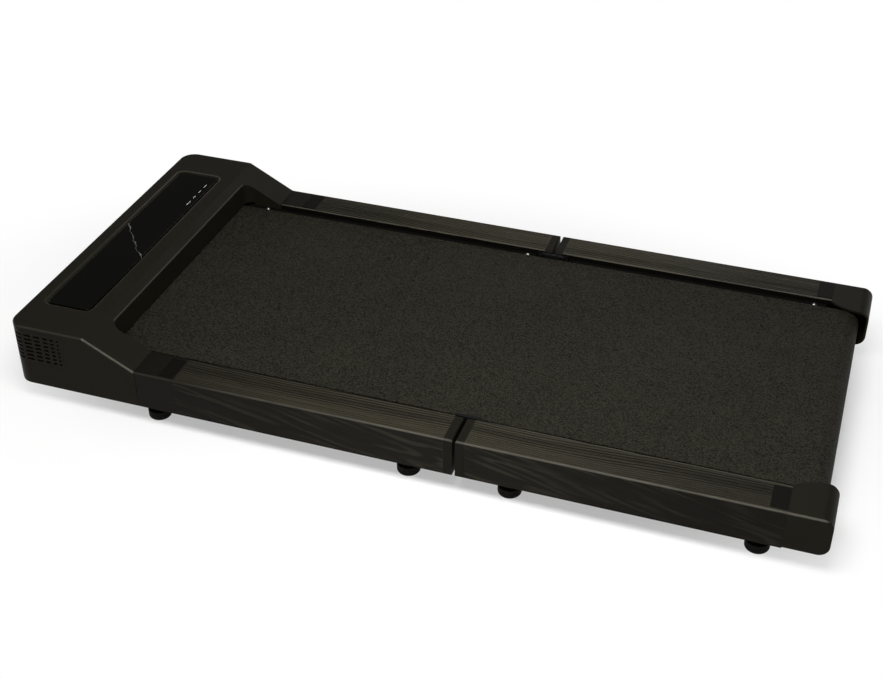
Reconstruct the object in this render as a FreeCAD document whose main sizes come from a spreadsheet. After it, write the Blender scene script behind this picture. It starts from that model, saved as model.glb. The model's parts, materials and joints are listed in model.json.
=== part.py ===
import FreeCAD, Part
import math
import os
from types import SimpleNamespace
import Sketcher

# A folding walking pad: a motor head, two pairs of grained side rails, a belt over two deck boards,
# and a two-pin link hinge on each side, where the rear half folds up and over the front half.
# Millimetres, +Z up. The head is at -X, the left side at -Y, the origin on the floor under the middle.

sizes = {
    # overall
    "total_length": 1128, "total_width": 540, "foot_height": 28, "rail_height": 57,
    "rail_width": 52, "rail_wall": 3, "rail_edge_radius": 3, "skirt_gap": 0.5,
    # motor head
    "head_length": 193, "head_height": 95.5, "head_flat": 118, "slope_run": 73, "seam_gap": 0.6,
    "head_wall": 3, "head_roof": 6, "head_corner_radius": 23, "head_toe_radius": 12,
    "head_edge_radius": 2.5, "mouth_depth": 61, "mouth_inset": 1, "mouth_corner_radius": 15,
    "mouth_clearance": 3, "pan_thickness": 2,
    # vents in the head's side walls
    "vent_front": 4, "vent_length": 79, "vent_rise": 35, "vent_top_inset": 6.5, "vent_seam": 0.15,
    "vent_margin": 6, "vent_end_margin": 3, "slot_height": 3.2, "slot_shortest": 4, "slot_gap": 4,
    # display
    "panel_side_inset": 66, "panel_width": 67, "panel_setback": 24, "panel_thickness": 2.4,
    "panel_recess": 3.2, "panel_moat": 5, "panel_corner_radius": 8, "panel_gap": 0.4,
    "panel_edge_radius": 0.6, "board_thickness": 1.6, "board_margin": 14,
    # fold
    "front_length": 651, "split_gap": 4, "band_length": 12, "end_wall": 2, "hinge_spacing": 28,
    "hinge_depth": 8, "pin_diameter": 6, "pin_head_diameter": 10, "pin_head_height": 1.5,
    "running_clearance": 0.05, "press_clearance": 0.02, "link_thickness": 5, "link_height": 12,
    "link_gap": 0.5, "bracket_reach": 10, "bracket_drop": 14, "bracket_lip": 4.5, "bracket_nose": 6,
    # belt, rollers and deck
    "belt_channel": 10, "belt_thickness": 1.8, "belt_drop": 6.5, "belt_lift": 4.3,
    "belt_clearance": 0.3, "roller_overhang": 4, "roller_wall": 3, "axle_diameter": 12,
    "bearing_width": 10, "rear_belt_inset": 12.5, "drive_roller_setback": 22, "deck_thickness": 14,
    "deck_rest": 3, "deck_running_gap": 0.2, "deck_roller_gap": 5, "deck_split_gap": 6,
    "deck_edge_radius": 3, "notch_clearance": 2,
    # frame
    "tube_setoff": 8, "tube_inset": 10, "tube_wall": 2, "tube_radius": 4, "fit_clearance": 0.2,
    "tube_setback": 24, "cross_tube_width": 28, "cross_tube_height": 18, "cross_tube_lift": 4,
    "cross_tube_setback": 36, "rear_cross_tube_setback": 18, "cushion_diameter": 26,
    "cushion_inset": 58, "screw_diameter": 4, "screw_head_diameter": 7, "screw_head_height": 2.6,
    "screw_length": 24,
    # feet
    "foot_diameter": 32, "foot_pad_height": 14, "foot_edge_radius": 4, "foot_inset": 24,
    "stud_diameter": 10, "stud_depth": 8, "stud_reach": 10, "nut_width": 17, "nut_height": 6,
    "front_foot_place": 211, "fold_foot_place": 70, "rear_foot_place": 86,
    # screw covers on the rails
    "cover_length": 22, "cover_margin": 5, "cover_thickness": 1.4, "cover_sink": 1.2,
    "front_cover_place": 34, "cover_corner_radius": 2, "cover_clearance": 0.15,
    # rear end caps and belt tension
    "cap_length": 56.2, "cap_wall": 3, "cap_corner_radius": 15, "cap_reach": 18, "cap_step": 2,
    "cap_flare_length": 42, "tension_diameter": 8, "tension_head_diameter": 13,
    "tension_head_height": 7, "tension_socket": 6, "socket_depth": 4, "tension_length": 46,
    "tension_travel": 5, "plug_thickness": 3, "tube_end_inset": 19, "access_diameter": 16,
    # motor and drive
    "motor_headroom": 13.3, "motor_length": 118, "motor_end": 8, "motor_bell_inset": 6,
    "motor_wall": 10, "motor_front_gap": 6, "motor_lift": 5, "motor_pulley_gap": 20,
    "rotor_gap": 3, "rotor_end_gap": 14, "shaft_diameter": 8, "shaft_stub": 6,
    "pulley_width": 12, "pulley_floor_gap": 1.4, "motor_pulley_diameter": 20,
    "pulley_bore_gap": 2, "groove_depth": 1.5, "drive_belt_thickness": 3,
    "drive_belt_width": 10, "cradle_length": 70, "cradle_width": 44, "cradle_height": 26,
    # control board and heat sink
    "control_length": 170, "control_width": 58, "control_inset": 84, "standoff_height": 8,
    "standoff_diameter": 8, "standoff_inset": 8, "sink_length": 90, "sink_width": 36,
    "sink_base": 4, "fin_height": 22, "fin_thickness": 2, "fin_pitch": 5.6,
    # power inlet and switch in the front wall
    "inlet_gap": 34, "inlet_rise": 44, "inlet_width": 30, "inlet_height": 24, "inlet_depth": 20,
    "inlet_shell": 3, "socket_floor": 3, "inlet_pin_width": 2, "inlet_pin_height": 4,
    "inlet_pin_length": 12, "inlet_pin_spread": 7, "inlet_pin_rise": 4, "flange": 4,
    "flange_thickness": 2, "face_sink": 0.5, "switch_spacing": 52, "switch_width": 20,
    "switch_height": 30, "switch_depth": 16, "bezel_wall": 2.5, "rocker_gap": 0.5,
    "rocker_tilt": 10, "rocker_depth": 7, "rocker_back": 5, "rocker_dish": 2, "pivot_diameter": 3,
    # transport wheels
    "wheel_diameter": 30, "wheel_width": 18, "wheel_lift": 4, "wheel_setback": 29, "wheel_inset": 65,
    "wheel_tread_radius": 3, "wheel_axle_diameter": 6, "wheel_gap": 1, "cheek_thickness": 2,
    "cheek_width": 20, "cheek_drop": 6, "axle_head_diameter": 9, "axle_head_height": 2,
    # every cut runs past its piece by this much
    "overrun": 5,
}

# counts, and places given as shares of the size they follow
vent_rows = 7
vent_columns = 6
pulley_grooves = 5
sink_fins = 6
cross_tubes_per_half = 3
screw_top_share = 0.6
cheek_foot_share = 0.6
groove_middle_share = 0.5
rocker_back_share = 0.5

tolerance = 1e-4

doc = FreeCAD.newDocument("WalkingPad")
sheet = doc.addObject("Spreadsheet::Sheet", "dims")
for row, (alias, number) in enumerate(sizes.items(), 1):
    sheet.set(f"A{row}", str(number))
    sheet.setAlias(f"A{row}", alias)
doc.recompute()


class Size:
    """A size with its value and the sheet expression that gives it."""

    def __init__(self, text, value):
        self.text = text
        self.value = value

    def join(self, sign, other, value):
        other_text = other.text if isinstance(other, Size) else str(other)
        return Size(f"({self.text} {sign} {other_text})", value)

    def __add__(self, other):
        return self.join("+", other, self.value + number_of(other))

    def __sub__(self, other):
        return self.join("-", other, self.value - number_of(other))

    def __mul__(self, other):
        return self.join("*", other, self.value * number_of(other))

    def __truediv__(self, other):
        return self.join("/", other, self.value / number_of(other))

    def __neg__(self):
        return Size(f"(0 - {self.text})", -self.value)


def number_of(item):
    return item.value if isinstance(item, Size) else item


def smaller(first, second):
    return Size(f"min({first.text}; {second.text})", min(first.value, second.value))


d = SimpleNamespace(**{alias: Size(f"dims.{alias}", float(sheet.get(alias))) for alias in sizes})
zero = Size("0", 0)

# levels and places that several pieces share
half_width = d.total_width / 2
head_front = -d.total_length / 2
rear_end = d.total_length / 2
rail_bottom = d.foot_height
rail_top = rail_bottom + d.rail_height
inner_face = half_width - d.rail_width
head_top = rail_bottom + d.head_height
head_rear = head_front + d.head_length
crease = head_front + d.head_flat
slope_foot = crease + d.slope_run
mouth_wall = head_rear - d.mouth_depth
mouth_half = inner_face - d.mouth_inset
split = head_front + d.front_length
front_end = split - d.split_gap / 2
rear_start = split + d.split_gap / 2
cap_front = rear_end - d.cap_length
rail_start = head_rear + d.seam_gap

belt_top = rail_top - d.belt_drop
belt_under = belt_top - d.belt_thickness
belt_half = inner_face - d.belt_channel
belt_bottom = rail_bottom + d.belt_lift
belt_bend = (belt_under - belt_bottom - d.belt_thickness) / 2
roller_radius = belt_bend - d.belt_clearance
roller_half = belt_half + d.roller_overhang
roller_z = belt_under - belt_bend
rear_roller_x = rear_end - d.rear_belt_inset - d.belt_thickness - belt_bend
drive_roller_x = mouth_wall - d.drive_roller_setback
deck_top = belt_under - d.deck_running_gap
deck_bottom = deck_top - d.deck_thickness
deck_half = inner_face + d.deck_rest
front_deck_start = drive_roller_x + roller_radius + d.deck_roller_gap
front_deck_end = split - d.deck_split_gap / 2
rear_deck_start = split + d.deck_split_gap / 2
rear_deck_end = rear_roller_x - roller_radius - d.deck_roller_gap
skirt_bottom = deck_top + d.skirt_gap

tube_top = rail_top - d.rail_wall
tube_bottom = rail_bottom + d.cap_wall + d.fit_clearance
tube_outer = half_width - d.tube_inset
tube_inner = inner_face + d.tube_setoff
tube_middle = (tube_outer + tube_inner) / 2
cross_bottom = belt_bottom + d.belt_thickness + d.cross_tube_lift
cross_top = cross_bottom + d.cross_tube_height
pan_top = tube_bottom
pan_bottom = pan_top - d.pan_thickness

hinge_z = rail_top - d.hinge_depth
front_pin_x = split - d.hinge_spacing / 2
rear_pin_x = split + d.hinge_spacing / 2
link_inner = belt_half + d.deck_running_gap + d.link_gap + d.pin_head_height
link_outer = link_inner + d.link_thickness
bracket_face = link_outer + d.link_gap
screw_y = (belt_half + inner_face) / 2

motor_radius = (head_top - d.head_roof - d.motor_headroom - pan_top - d.motor_lift) / 2
motor_x = head_front + d.head_wall + d.motor_front_gap + motor_radius
motor_z = pan_top + d.motor_lift + motor_radius
pulley_start = roller_half
pulley_end = pulley_start + d.pulley_width
motor_start = pulley_start - d.motor_pulley_gap - d.motor_length
belt_height = d.drive_belt_thickness - d.groove_depth
drive_pulley_radius = roller_z - pan_top - d.pulley_floor_gap - belt_height - d.belt_clearance
inlet_y = motor_start - d.inlet_gap
switch_y = inlet_y - d.switch_spacing
inlet_z = rail_bottom + d.inlet_rise
wheel_x = head_front + d.wheel_setback
wheel_y = half_width - d.wheel_inset
wheel_z = d.wheel_lift + d.wheel_diameter / 2

parts = []


def subpart(obj):
    parts.append(obj)
    return obj


def bind(obj, prop, amount):
    obj.setExpression(prop, amount.text)


def place(obj, x=zero, y=zero, z=zero):
    bind(obj, "Placement.Base.x", x)
    bind(obj, "Placement.Base.y", y)
    bind(obj, "Placement.Base.z", z)
    return obj


def box(name, x0, x1, y0, y1, z0, z1):
    made = doc.addObject("Part::Box", name)
    bind(made, "Length", x1 - x0)
    bind(made, "Width", y1 - y0)
    bind(made, "Height", z1 - z0)
    return place(made, x0, y0, z0)


turns = {
    "x": FreeCAD.Rotation(FreeCAD.Vector(0, 1, 0), 90),
    "y": FreeCAD.Rotation(FreeCAD.Vector(1, 0, 0), -90),
    "z": FreeCAD.Rotation(),
}


def rod(name, axis, x, y, z, radius, length):
    made = doc.addObject("Part::Cylinder", name)
    made.Placement = FreeCAD.Placement(FreeCAD.Vector(), turns[axis])
    bind(made, "Radius", radius)
    bind(made, "Height", length)
    return place(made, x, y, z)


def hexagon(name, axis, x, y, z, width, length):
    made = doc.addObject("Part::Prism", name)
    made.Polygon = 6
    made.Placement = FreeCAD.Placement(FreeCAD.Vector(), turns[axis])
    bind(made, "Circumradius", width / math.sqrt(3))
    bind(made, "Height", length)
    return place(made, x, y, z)


def cut(name, base, *tools):
    for count, tool in enumerate(tools, 1):
        made = doc.addObject("Part::Cut", name if count == len(tools) else f"{name}_cut{count}")
        made.Base = base
        made.Tool = tool
        base = made
    return base


def fuse(name, *shapes):
    made = doc.addObject("Part::MultiFuse", name)
    made.Shapes = list(shapes)
    return made


def common(name, *shapes):
    made = doc.addObject("Part::MultiCommon", name)
    made.Shapes = list(shapes)
    return made


def mirror(name, source):
    made = doc.addObject("Part::Mirroring", name)
    made.Source = source
    made.Normal = FreeCAD.Vector(0, 1, 0)
    return made


def group(name, pieces):
    made = doc.addObject("Part::Compound", name)
    made.Links = list(pieces)
    return made


def both_sides(name, pieces):
    mirrored = [mirror(f"{piece.Name}_right", piece) for piece in pieces]
    return group(name, list(pieces) + mirrored)


def new_body(name):
    return doc.addObject("PartDesign::Body", name)


def sketch_on(body, name, role, offset=zero):
    sketch = body.newObject("Sketcher::SketchObject", name)
    plane = next(item for item in body.Origin.OriginFeatures if item.Role == role)
    sketch.AttachmentSupport = [(plane, "")]
    sketch.MapMode = "FlatFace"
    bind(sketch, "AttachmentOffset.Base.z", offset)
    return sketch


def pin_vertex(sketch, edge, end, point):
    for kind, amount in zip(("DistanceX", "DistanceY"), point):
        index = sketch.addConstraint(Sketcher.Constraint(kind, -1, 1, edge, end, amount.value))
        sketch.setExpression(f"Constraints[{index}]", amount.text)


def outline(sketch, points):
    """Closes straight edges through the points, each held at its own sizes."""
    first = sketch.GeometryCount
    vectors = [FreeCAD.Vector(x.value, y.value, 0) for x, y in points]
    last = len(points) - 1
    for index, start in enumerate(vectors):
        sketch.addGeometry(Part.LineSegment(start, vectors[(index + 1) % len(points)]), False)
    for index in range(len(points)):
        following = first if index == last else first + index + 1
        sketch.addConstraint(Sketcher.Constraint("Coincident", first + index, 2, following, 1))
        pin_vertex(sketch, first + index, 1, points[index])
    return sketch


def round_outline(sketch, x0, x1, y0, y1, radius):
    """Draws a rectangle with four round corners."""
    first = sketch.GeometryCount
    corners = ((x1, y0, -1, 1, 3), (x1, y1, -1, -1, 0), (x0, y1, 1, -1, 1), (x0, y0, 1, 1, 2))
    starts = ((x0 + radius, y0), (x1, y0 + radius), (x1 - radius, y1), (x0, y1 - radius))
    ends = ((x1 - radius, y0), (x1, y1 - radius), (x0 + radius, y1), (x0, y0 + radius))
    for side, (x, y, x_way, y_way, quarter) in enumerate(corners):
        start = FreeCAD.Vector(*(amount.value for amount in starts[side]))
        end = FreeCAD.Vector(*(amount.value for amount in ends[side]))
        middle = FreeCAD.Vector((x + radius * x_way).value, (y + radius * y_way).value)
        circle = Part.Circle(middle, FreeCAD.Vector(0, 0, 1), radius.value)
        angle = quarter * math.pi / 2
        sketch.addGeometry(Part.LineSegment(start, end), False)
        sketch.addGeometry(Part.ArcOfCircle(circle, angle, angle + math.pi / 2), False)
    for side in range(4):
        line = first + 2 * side
        following = first + (2 * side + 2) % 8
        sketch.addConstraint(Sketcher.Constraint("Coincident", line, 2, line + 1, 1))
        sketch.addConstraint(Sketcher.Constraint("Coincident", line + 1, 2, following, 1))
        pin_vertex(sketch, line, 1, starts[side])
        pin_vertex(sketch, line, 2, ends[side])
        index = sketch.addConstraint(Sketcher.Constraint("Radius", line + 1, radius.value))
        sketch.setExpression(f"Constraints[{index}]", radius.text)
    return sketch


def pad(body, sketch, length, symmetric=False):
    made = body.newObject("PartDesign::Pad", f"{sketch.Name}_pad")
    made.Profile = sketch
    bind(made, "Length", length)
    if symmetric:
        made.SideType = "Symmetric"
    return made


def turned(name, points, axis, x, y, z):
    """Turns a half section, given as radius and place along the axis, about Y or Z."""
    body = new_body(name)
    sketch = outline(sketch_on(body, f"{name}_section", "XY_Plane" if axis == "y" else "XZ_Plane"), points)
    made = body.newObject("PartDesign::Revolution", f"{name}_turn")
    made.Profile = sketch
    made.ReferenceAxis = (sketch, ["V_Axis"])
    made.Angle = 360
    return place(body, x, y, z)


def edges_at(shape, **where):
    """Names the edges whose ends all lie at the given sizes."""
    names = []
    for index, edge in enumerate(shape.Edges, 1):
        spots = [vertex.Point for vertex in edge.Vertexes]
        held = [abs(getattr(spot, axis) - amount.value) for spot in spots for axis, amount in where.items()]
        if max(held) < tolerance:
            names.append(f"Edge{index}")
    return names


def soften(body, radius, names, kind="PartDesign::Fillet"):
    base = body.Tip
    made = body.newObject(kind, f"{body.Name}_{kind[12:].lower()}{len(body.Group)}")
    made.Base = (base, names)
    bind(made, "Radius" if kind.endswith("Fillet") else "Size", radius)
    return made


def tube_along(name, role, offset, length, spans):
    """A rectangular steel tube with round corners, open at both ends."""
    body = new_body(name)
    sketch = sketch_on(body, f"{name}_section", role, offset)
    x0, x1, y0, y1 = spans
    wall = d.tube_wall
    round_outline(sketch, x0, x1, y0, y1, d.tube_radius)
    round_outline(sketch, x0 + wall, x1 - wall, y0 + wall, y1 - wall, d.tube_radius - wall)
    pad(body, sketch, length)
    return body


def rail_profile(sketch):
    """The left rail's section: a long outer skirt, a top, and a short skirt on the belt's side."""
    wall = d.rail_wall
    return outline(sketch, [
        (-half_width, rail_bottom), (-half_width, rail_top), (-inner_face, rail_top),
        (-inner_face, skirt_bottom), (-inner_face - wall, skirt_bottom),
        (-inner_face - wall, tube_top), (-half_width + wall, tube_top), (-half_width + wall, rail_bottom),
    ])


def rail_cover(side_name, start, end, window_start, window_end, cover_start):
    body = new_body(f"{side_name}_shell")
    sketch = rail_profile(sketch_on(body, f"{side_name}_section", "YZ_Plane", start))
    pad(body, sketch, end - start)
    doc.recompute()
    shape = body.Shape
    names = edges_at(shape, y=-half_width, z=rail_top) + edges_at(shape, y=-inner_face, z=rail_top)
    soften(body, smaller(d.rail_edge_radius, d.rail_wall), names)
    window = hinge_window(f"{side_name}_window", window_start, window_end)
    seat = cover_seat(f"{side_name}_seat", cover_start)
    left = subpart(cut(f"left_{side_name}", body, window, seat))
    return left, subpart(mirror(f"right_{side_name}", left))


def hinge_window(name, start, end):
    """Clears the belt-side skirt where a hinge bracket comes through it."""
    return box(name, start, end, -tube_inner, -inner_face + d.overrun, skirt_bottom - d.overrun, tube_top)


def cover_seat(name, start):
    middle = -inner_face - d.rail_width / 2
    half = d.rail_width / 2 - d.cover_margin
    return box(name, start, start + d.cover_length, middle - half, middle + half,
               rail_top - d.cover_sink, rail_top + d.overrun)


def screw_covers(name, start):
    body = new_body(f"{name}_left")
    middle = -inner_face - d.rail_width / 2
    half = d.rail_width / 2 - d.cover_margin - d.cover_clearance
    sketch = sketch_on(body, f"{name}_outline", "XY_Plane", rail_top - d.cover_sink)
    round_outline(sketch, start + d.cover_clearance, start + d.cover_length - d.cover_clearance,
                  middle - half, middle + half, d.cover_corner_radius)
    pad(body, sketch, d.cover_thickness)
    return subpart(both_sides(name, [body]))


def rail_end_cap(name, start, wall_start, end_face, window_start, window_end):
    """The smooth band that closes a rail at the fold."""
    body = new_body(f"{name}_left")
    sketch = rail_profile(sketch_on(body, f"{name}_section", "YZ_Plane", start))
    pad(body, sketch, d.band_length)
    closing = sketch_on(body, f"{name}_wall", "YZ_Plane", wall_start)
    outline(closing, [(-half_width, rail_bottom), (-half_width, rail_top),
                      (-inner_face, rail_top), (-inner_face, rail_bottom)])
    pad(body, closing, d.end_wall)
    doc.recompute()
    shape = body.Shape
    names = edges_at(shape, y=-half_width, z=rail_top) + edges_at(shape, y=-inner_face, z=rail_top)
    names += edges_at(shape, x=end_face, z=rail_top)
    soften(body, smaller(d.rail_edge_radius, d.rail_wall), names)
    opened = cut(f"{name}_opened", body, hinge_window(f"{name}_window", window_start, window_end))
    return subpart(both_sides(name, [opened]))


def side_tube(name, start, end, cutters):
    tube = tube_along(f"{name}_stock", "YZ_Plane", start, end - start,
                      (-tube_outer, -tube_inner, tube_bottom, tube_top))
    left = subpart(cut(f"left_{name}", tube, *cutters))
    return left, subpart(mirror(f"right_{name}", left))


def stud_hole(name, x):
    return rod(name, "z", x, -half_width + d.foot_inset, tube_bottom - d.overrun,
               d.stud_diameter / 2 + d.fit_clearance, d.overrun + d.tube_wall * 2)


def foot_set(half, places):
    """Rubber pads on threaded studs, each stud with a nut on the pad."""
    pads, studs = [], []
    bore = d.stud_diameter / 2 + d.fit_clearance
    top = d.foot_pad_height
    radius = d.foot_diameter / 2
    foot_y = -half_width + d.foot_inset
    for index, x in enumerate(places, 1):
        profile = [(zero, zero), (radius, zero), (radius, top), (bore, top),
                   (bore, top - d.stud_depth), (zero, top - d.stud_depth)]
        rubber = turned(f"{half}_foot{index}", profile, "z", x, foot_y, zero)
        doc.recompute()
        lower = [f"Edge{count}" for count, edge in enumerate(rubber.Tip.Shape.Edges, 1)
                 if abs(edge.Vertexes[0].Z) < tolerance and edge.Closed]
        soften(rubber, d.foot_edge_radius, lower)
        length = tube_bottom + d.stud_reach - top + d.stud_depth
        stud = rod(f"{half}_stud{index}", "z", x, foot_y, top - d.stud_depth, d.stud_diameter / 2, length)
        nut = hexagon(f"{half}_nut{index}", "z", x, foot_y, top, d.nut_width, d.nut_height)
        pads.append(rubber)
        studs.append(fuse(f"{half}_stud_with_nut{index}", stud, nut))
    subpart(both_sides(f"{half}_feet", pads))
    subpart(both_sides(f"{half}_foot_studs", studs))


def deck(name, start, end, split_x, screw_xs):
    """A deck board with its corners notched for the hinge links and holes for its screws."""
    notch_y = link_inner - d.pin_head_height - d.link_gap / 2
    reach = d.hinge_spacing / 2 + d.bracket_reach + d.notch_clearance
    inward = -1 if split_x is end else 1
    other = start if split_x is end else end
    step = split_x + (reach - d.deck_split_gap / 2) * inward
    body = new_body(f"{name}_stock")
    sketch = outline(sketch_on(body, f"{name}_outline", "XY_Plane", deck_bottom), [
        (other, -deck_half), (step, -deck_half), (step, -notch_y), (split_x, -notch_y),
        (split_x, notch_y), (step, notch_y), (step, deck_half), (other, deck_half),
    ])
    pad(body, sketch, d.deck_thickness)
    doc.recompute()
    shape = body.Shape
    names = edges_at(shape, x=split_x, z=deck_top) + edges_at(shape, x=other, z=deck_top)
    soften(body, smaller(d.deck_edge_radius, d.deck_thickness / 2), names)
    holes = []
    for index, x in enumerate(screw_xs, 1):
        for side, y in (("left", -screw_y), ("right", screw_y)):
            holes.append(rod(f"{name}_hole{index}_{side}", "z", x, y, deck_bottom - d.overrun,
                             d.screw_diameter / 2 + d.fit_clearance, d.deck_thickness + d.overrun * 2))
    return subpart(cut(name, body, *holes))


def deck_screws(name, xs):
    made = []
    for index, x in enumerate(xs, 1):
        shank, head = d.screw_diameter / 2, d.screw_head_diameter / 2
        profile = [(zero, -d.screw_length), (shank, -d.screw_length), (shank, zero), (head, zero),
                   (head * screw_top_share, d.screw_head_height), (zero, d.screw_head_height)]
        made.append(turned(f"{name}{index}", profile, "z", x, -screw_y, deck_top))
    subpart(both_sides(name, made))


def cross_tubes(half, places, screw_xs):
    tubes, cushions = [], []
    cross_half = d.cross_tube_width / 2
    for index, x in enumerate(places, 1):
        tube = tube_along(f"{half}_cross_tube{index}", "XZ_Plane", -tube_inner, tube_inner * 2,
                          (x - cross_half, x + cross_half, cross_bottom, cross_top))
        if any(x is screw_x for screw_x in screw_xs):
            taps = [rod(f"{half}_tap{index}_{side}", "z", x, y, cross_top - d.tube_wall * 2,
                        d.screw_diameter / 2 + d.press_clearance, d.tube_wall * 2 + d.overrun)
                    for side, y in (("left", -screw_y), ("right", screw_y))]
            tube = cut(f"{half}_tapped_tube{index}", tube, *taps)
        tubes.append(tube)
        cushion_y = belt_half - d.cushion_inset
        for side, y in (("left", -cushion_y), ("right", cushion_y)):
            cushions.append(rod(f"{half}_cushion{index}_{side}", "z", x, y, cross_top,
                                d.cushion_diameter / 2, deck_bottom - cross_top))
    subpart(group(f"{half}_cross_tubes", tubes))
    subpart(group(f"{half}_deck_cushions", cushions))


def evenly(first, last, count):
    return [first + (last - first) * (step / (count - 1)) for step in range(count)]


def roller(name, x):
    half = roller_half
    bore = roller_radius - d.roller_wall
    tube = turned(name, [(bore, -half), (roller_radius, -half), (roller_radius, half), (bore, half)],
                  "y", x, zero, roller_z)
    subpart(tube)
    inner = d.axle_diameter / 2 + d.running_clearance
    outer = bore - d.press_clearance
    ring = turned(f"{name}_bearing", [(inner, -half), (outer, -half), (outer, -half + d.bearing_width),
                                      (inner, -half + d.bearing_width)], "y", x, zero, roller_z)
    subpart(both_sides(f"{name}_bearings", [ring]))


def pulley(name, radius, bore, x, z):
    """A ribbed-belt pulley: V grooves between two plain lands."""
    land = (d.pulley_width - d.drive_belt_width) / 2
    pitch = d.drive_belt_width / pulley_grooves
    points = [(bore, zero), (radius, zero), (radius, land)]
    for groove in range(pulley_grooves):
        points.append((radius - d.groove_depth, land + pitch * (groove + groove_middle_share)))
        points.append((radius, land + pitch * (groove + 1)))
    points += [(radius, d.pulley_width), (bore, d.pulley_width)]
    return subpart(turned(name, points, "y", x, pulley_start, z))


def tangent_loop(first, first_radius, second, second_radius, y0, y1):
    """A closed face round two circles in the XZ plane, swept from y0 to y1."""
    way = second - first
    lean = math.asin((first_radius - second_radius) / way.Length)
    heading = math.atan2(way.z, way.x)
    spots = []
    for turn in (1, -1):
        angle = heading + turn * (math.pi / 2 - lean)
        normal = FreeCAD.Vector(math.cos(angle), 0, math.sin(angle))
        spots.append((first + normal * first_radius, second + normal * second_radius))
    along = way.normalize()
    far_end = Part.Arc(spots[0][1], second + along * second_radius, spots[1][1]).toShape()
    near_end = Part.Arc(spots[1][0], first - along * first_radius, spots[0][0]).toShape()
    upper = Part.LineSegment(spots[0][0], spots[0][1]).toShape()
    lower = Part.LineSegment(spots[1][1], spots[1][0]).toShape()
    wire = Part.Wire([upper, far_end, lower, near_end])
    wire.translate(FreeCAD.Vector(0, y0, 0))
    return Part.Face(wire).extrude(FreeCAD.Vector(0, y1 - y0, 0))


def belt_round(name, first, first_radius, second, second_radius, thickness, y0, y1):
    """A flat belt stretched over two wheels; its run follows the common tangents."""
    def loop(extra):
        return tangent_loop(FreeCAD.Vector(first[0].value, 0, first[1].value), first_radius.value + extra,
                            FreeCAD.Vector(second[0].value, 0, second[1].value),
                            second_radius.value + extra, y0.value, y1.value)
    made = doc.addObject("Part::Feature", name)
    made.Shape = loop(thickness.value).cut(loop(0))
    return subpart(made)


# head cover: a side profile and a plan outline meet in one moulding, hollow below
def head_slope(x):
    """The height of the cover's inner ceiling under the slope."""
    high = head_top - d.head_roof
    low = tube_top + d.fit_clearance
    return high - (high - low) * ((x - crease) / d.slope_run)


def head_blank():
    side = new_body("head_side")
    profile = outline(sketch_on(side, "head_side_profile", "XZ_Plane"), [
        (head_front, rail_bottom), (head_front, head_top), (crease, head_top),
        (slope_foot, rail_top), (head_rear, rail_top), (head_rear, rail_bottom),
    ])
    pad(side, profile, d.total_width, symmetric=True)
    doc.recompute()
    soften(side, d.head_toe_radius, edges_at(side.Shape, x=head_front, z=rail_bottom))
    plan = new_body("head_plan")
    shadow = outline(sketch_on(plan, "head_plan_outline", "XY_Plane", rail_bottom - d.overrun), [
        (head_front, -half_width), (head_rear + d.overrun, -half_width),
        (head_rear + d.overrun, half_width), (head_front, half_width),
    ])
    pad(plan, shadow, d.head_height + d.overrun * 2)
    doc.recompute()
    corners = [name for sign in (1, -1) for name in edges_at(plan.Shape, x=head_front, y=half_width * sign)]
    soften(plan, d.head_corner_radius, corners)
    blank = common("head_blank", side, plan)
    doc.recompute()
    shaped = doc.addObject("Part::Fillet", "head_blank_soft")
    shaped.Base = blank
    shaped.Edges = [(index, d.head_edge_radius.value, d.head_edge_radius.value)
                    for index in rim_edges(blank.Shape)]
    return shaped


def rim_edges(shape):
    """Edges of the flat top along the front, the corners and the sides, and along the slope's sides."""
    found = []
    for index, edge in enumerate(shape.Edges, 1):
        spots = [vertex.Point for vertex in edge.Vertexes]
        on_top = all(abs(spot.z - head_top.value) < tolerance for spot in spots)
        above_rail = all(spot.z > rail_top.value - tolerance for spot in spots)
        crosses = abs(spots[0].x - spots[-1].x) < tolerance and spots[0].x > crease.value - tolerance
        on_side = all(abs(abs(spot.y) - half_width.value) < tolerance for spot in spots)
        if (on_top or (on_side and above_rail)) and not crosses:
            found.append(index)
    return found


def head_cavity():
    wall = d.head_wall
    low = rail_bottom - d.overrun
    inside = half_width - wall
    back = mouth_wall - wall
    main = new_body("head_cavity")
    toe = d.head_toe_radius
    profile = outline(sketch_on(main, "head_cavity_profile", "XZ_Plane"), [
        (head_front + toe, low), (head_front + toe, rail_bottom + wall),
        (head_front + wall, rail_bottom + toe), (head_front + wall, head_top - d.head_roof),
        (crease, head_top - d.head_roof), (back, head_slope(back)), (back, low),
    ])
    pad(main, profile, inside * 2, symmetric=True)
    doc.recompute()
    corners = []
    for sign in (1, -1):
        corners += edges_at(main.Shape, x=head_front + wall, y=inside * sign)
    soften(main, d.head_corner_radius - wall, corners)
    arm = new_body("head_arm_cavity")
    start = mouth_half + wall
    sketch = outline(sketch_on(arm, "head_arm_profile", "XZ_Plane", start), [
        (back - d.overrun, low), (back - d.overrun, head_slope(back - d.overrun)),
        (slope_foot, head_slope(slope_foot)), (head_rear + d.overrun, head_slope(slope_foot)),
        (head_rear + d.overrun, low),
    ])
    pad(arm, sketch, inside - start)
    return main, arm, mirror("head_arm_cavity_right", arm)


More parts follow.
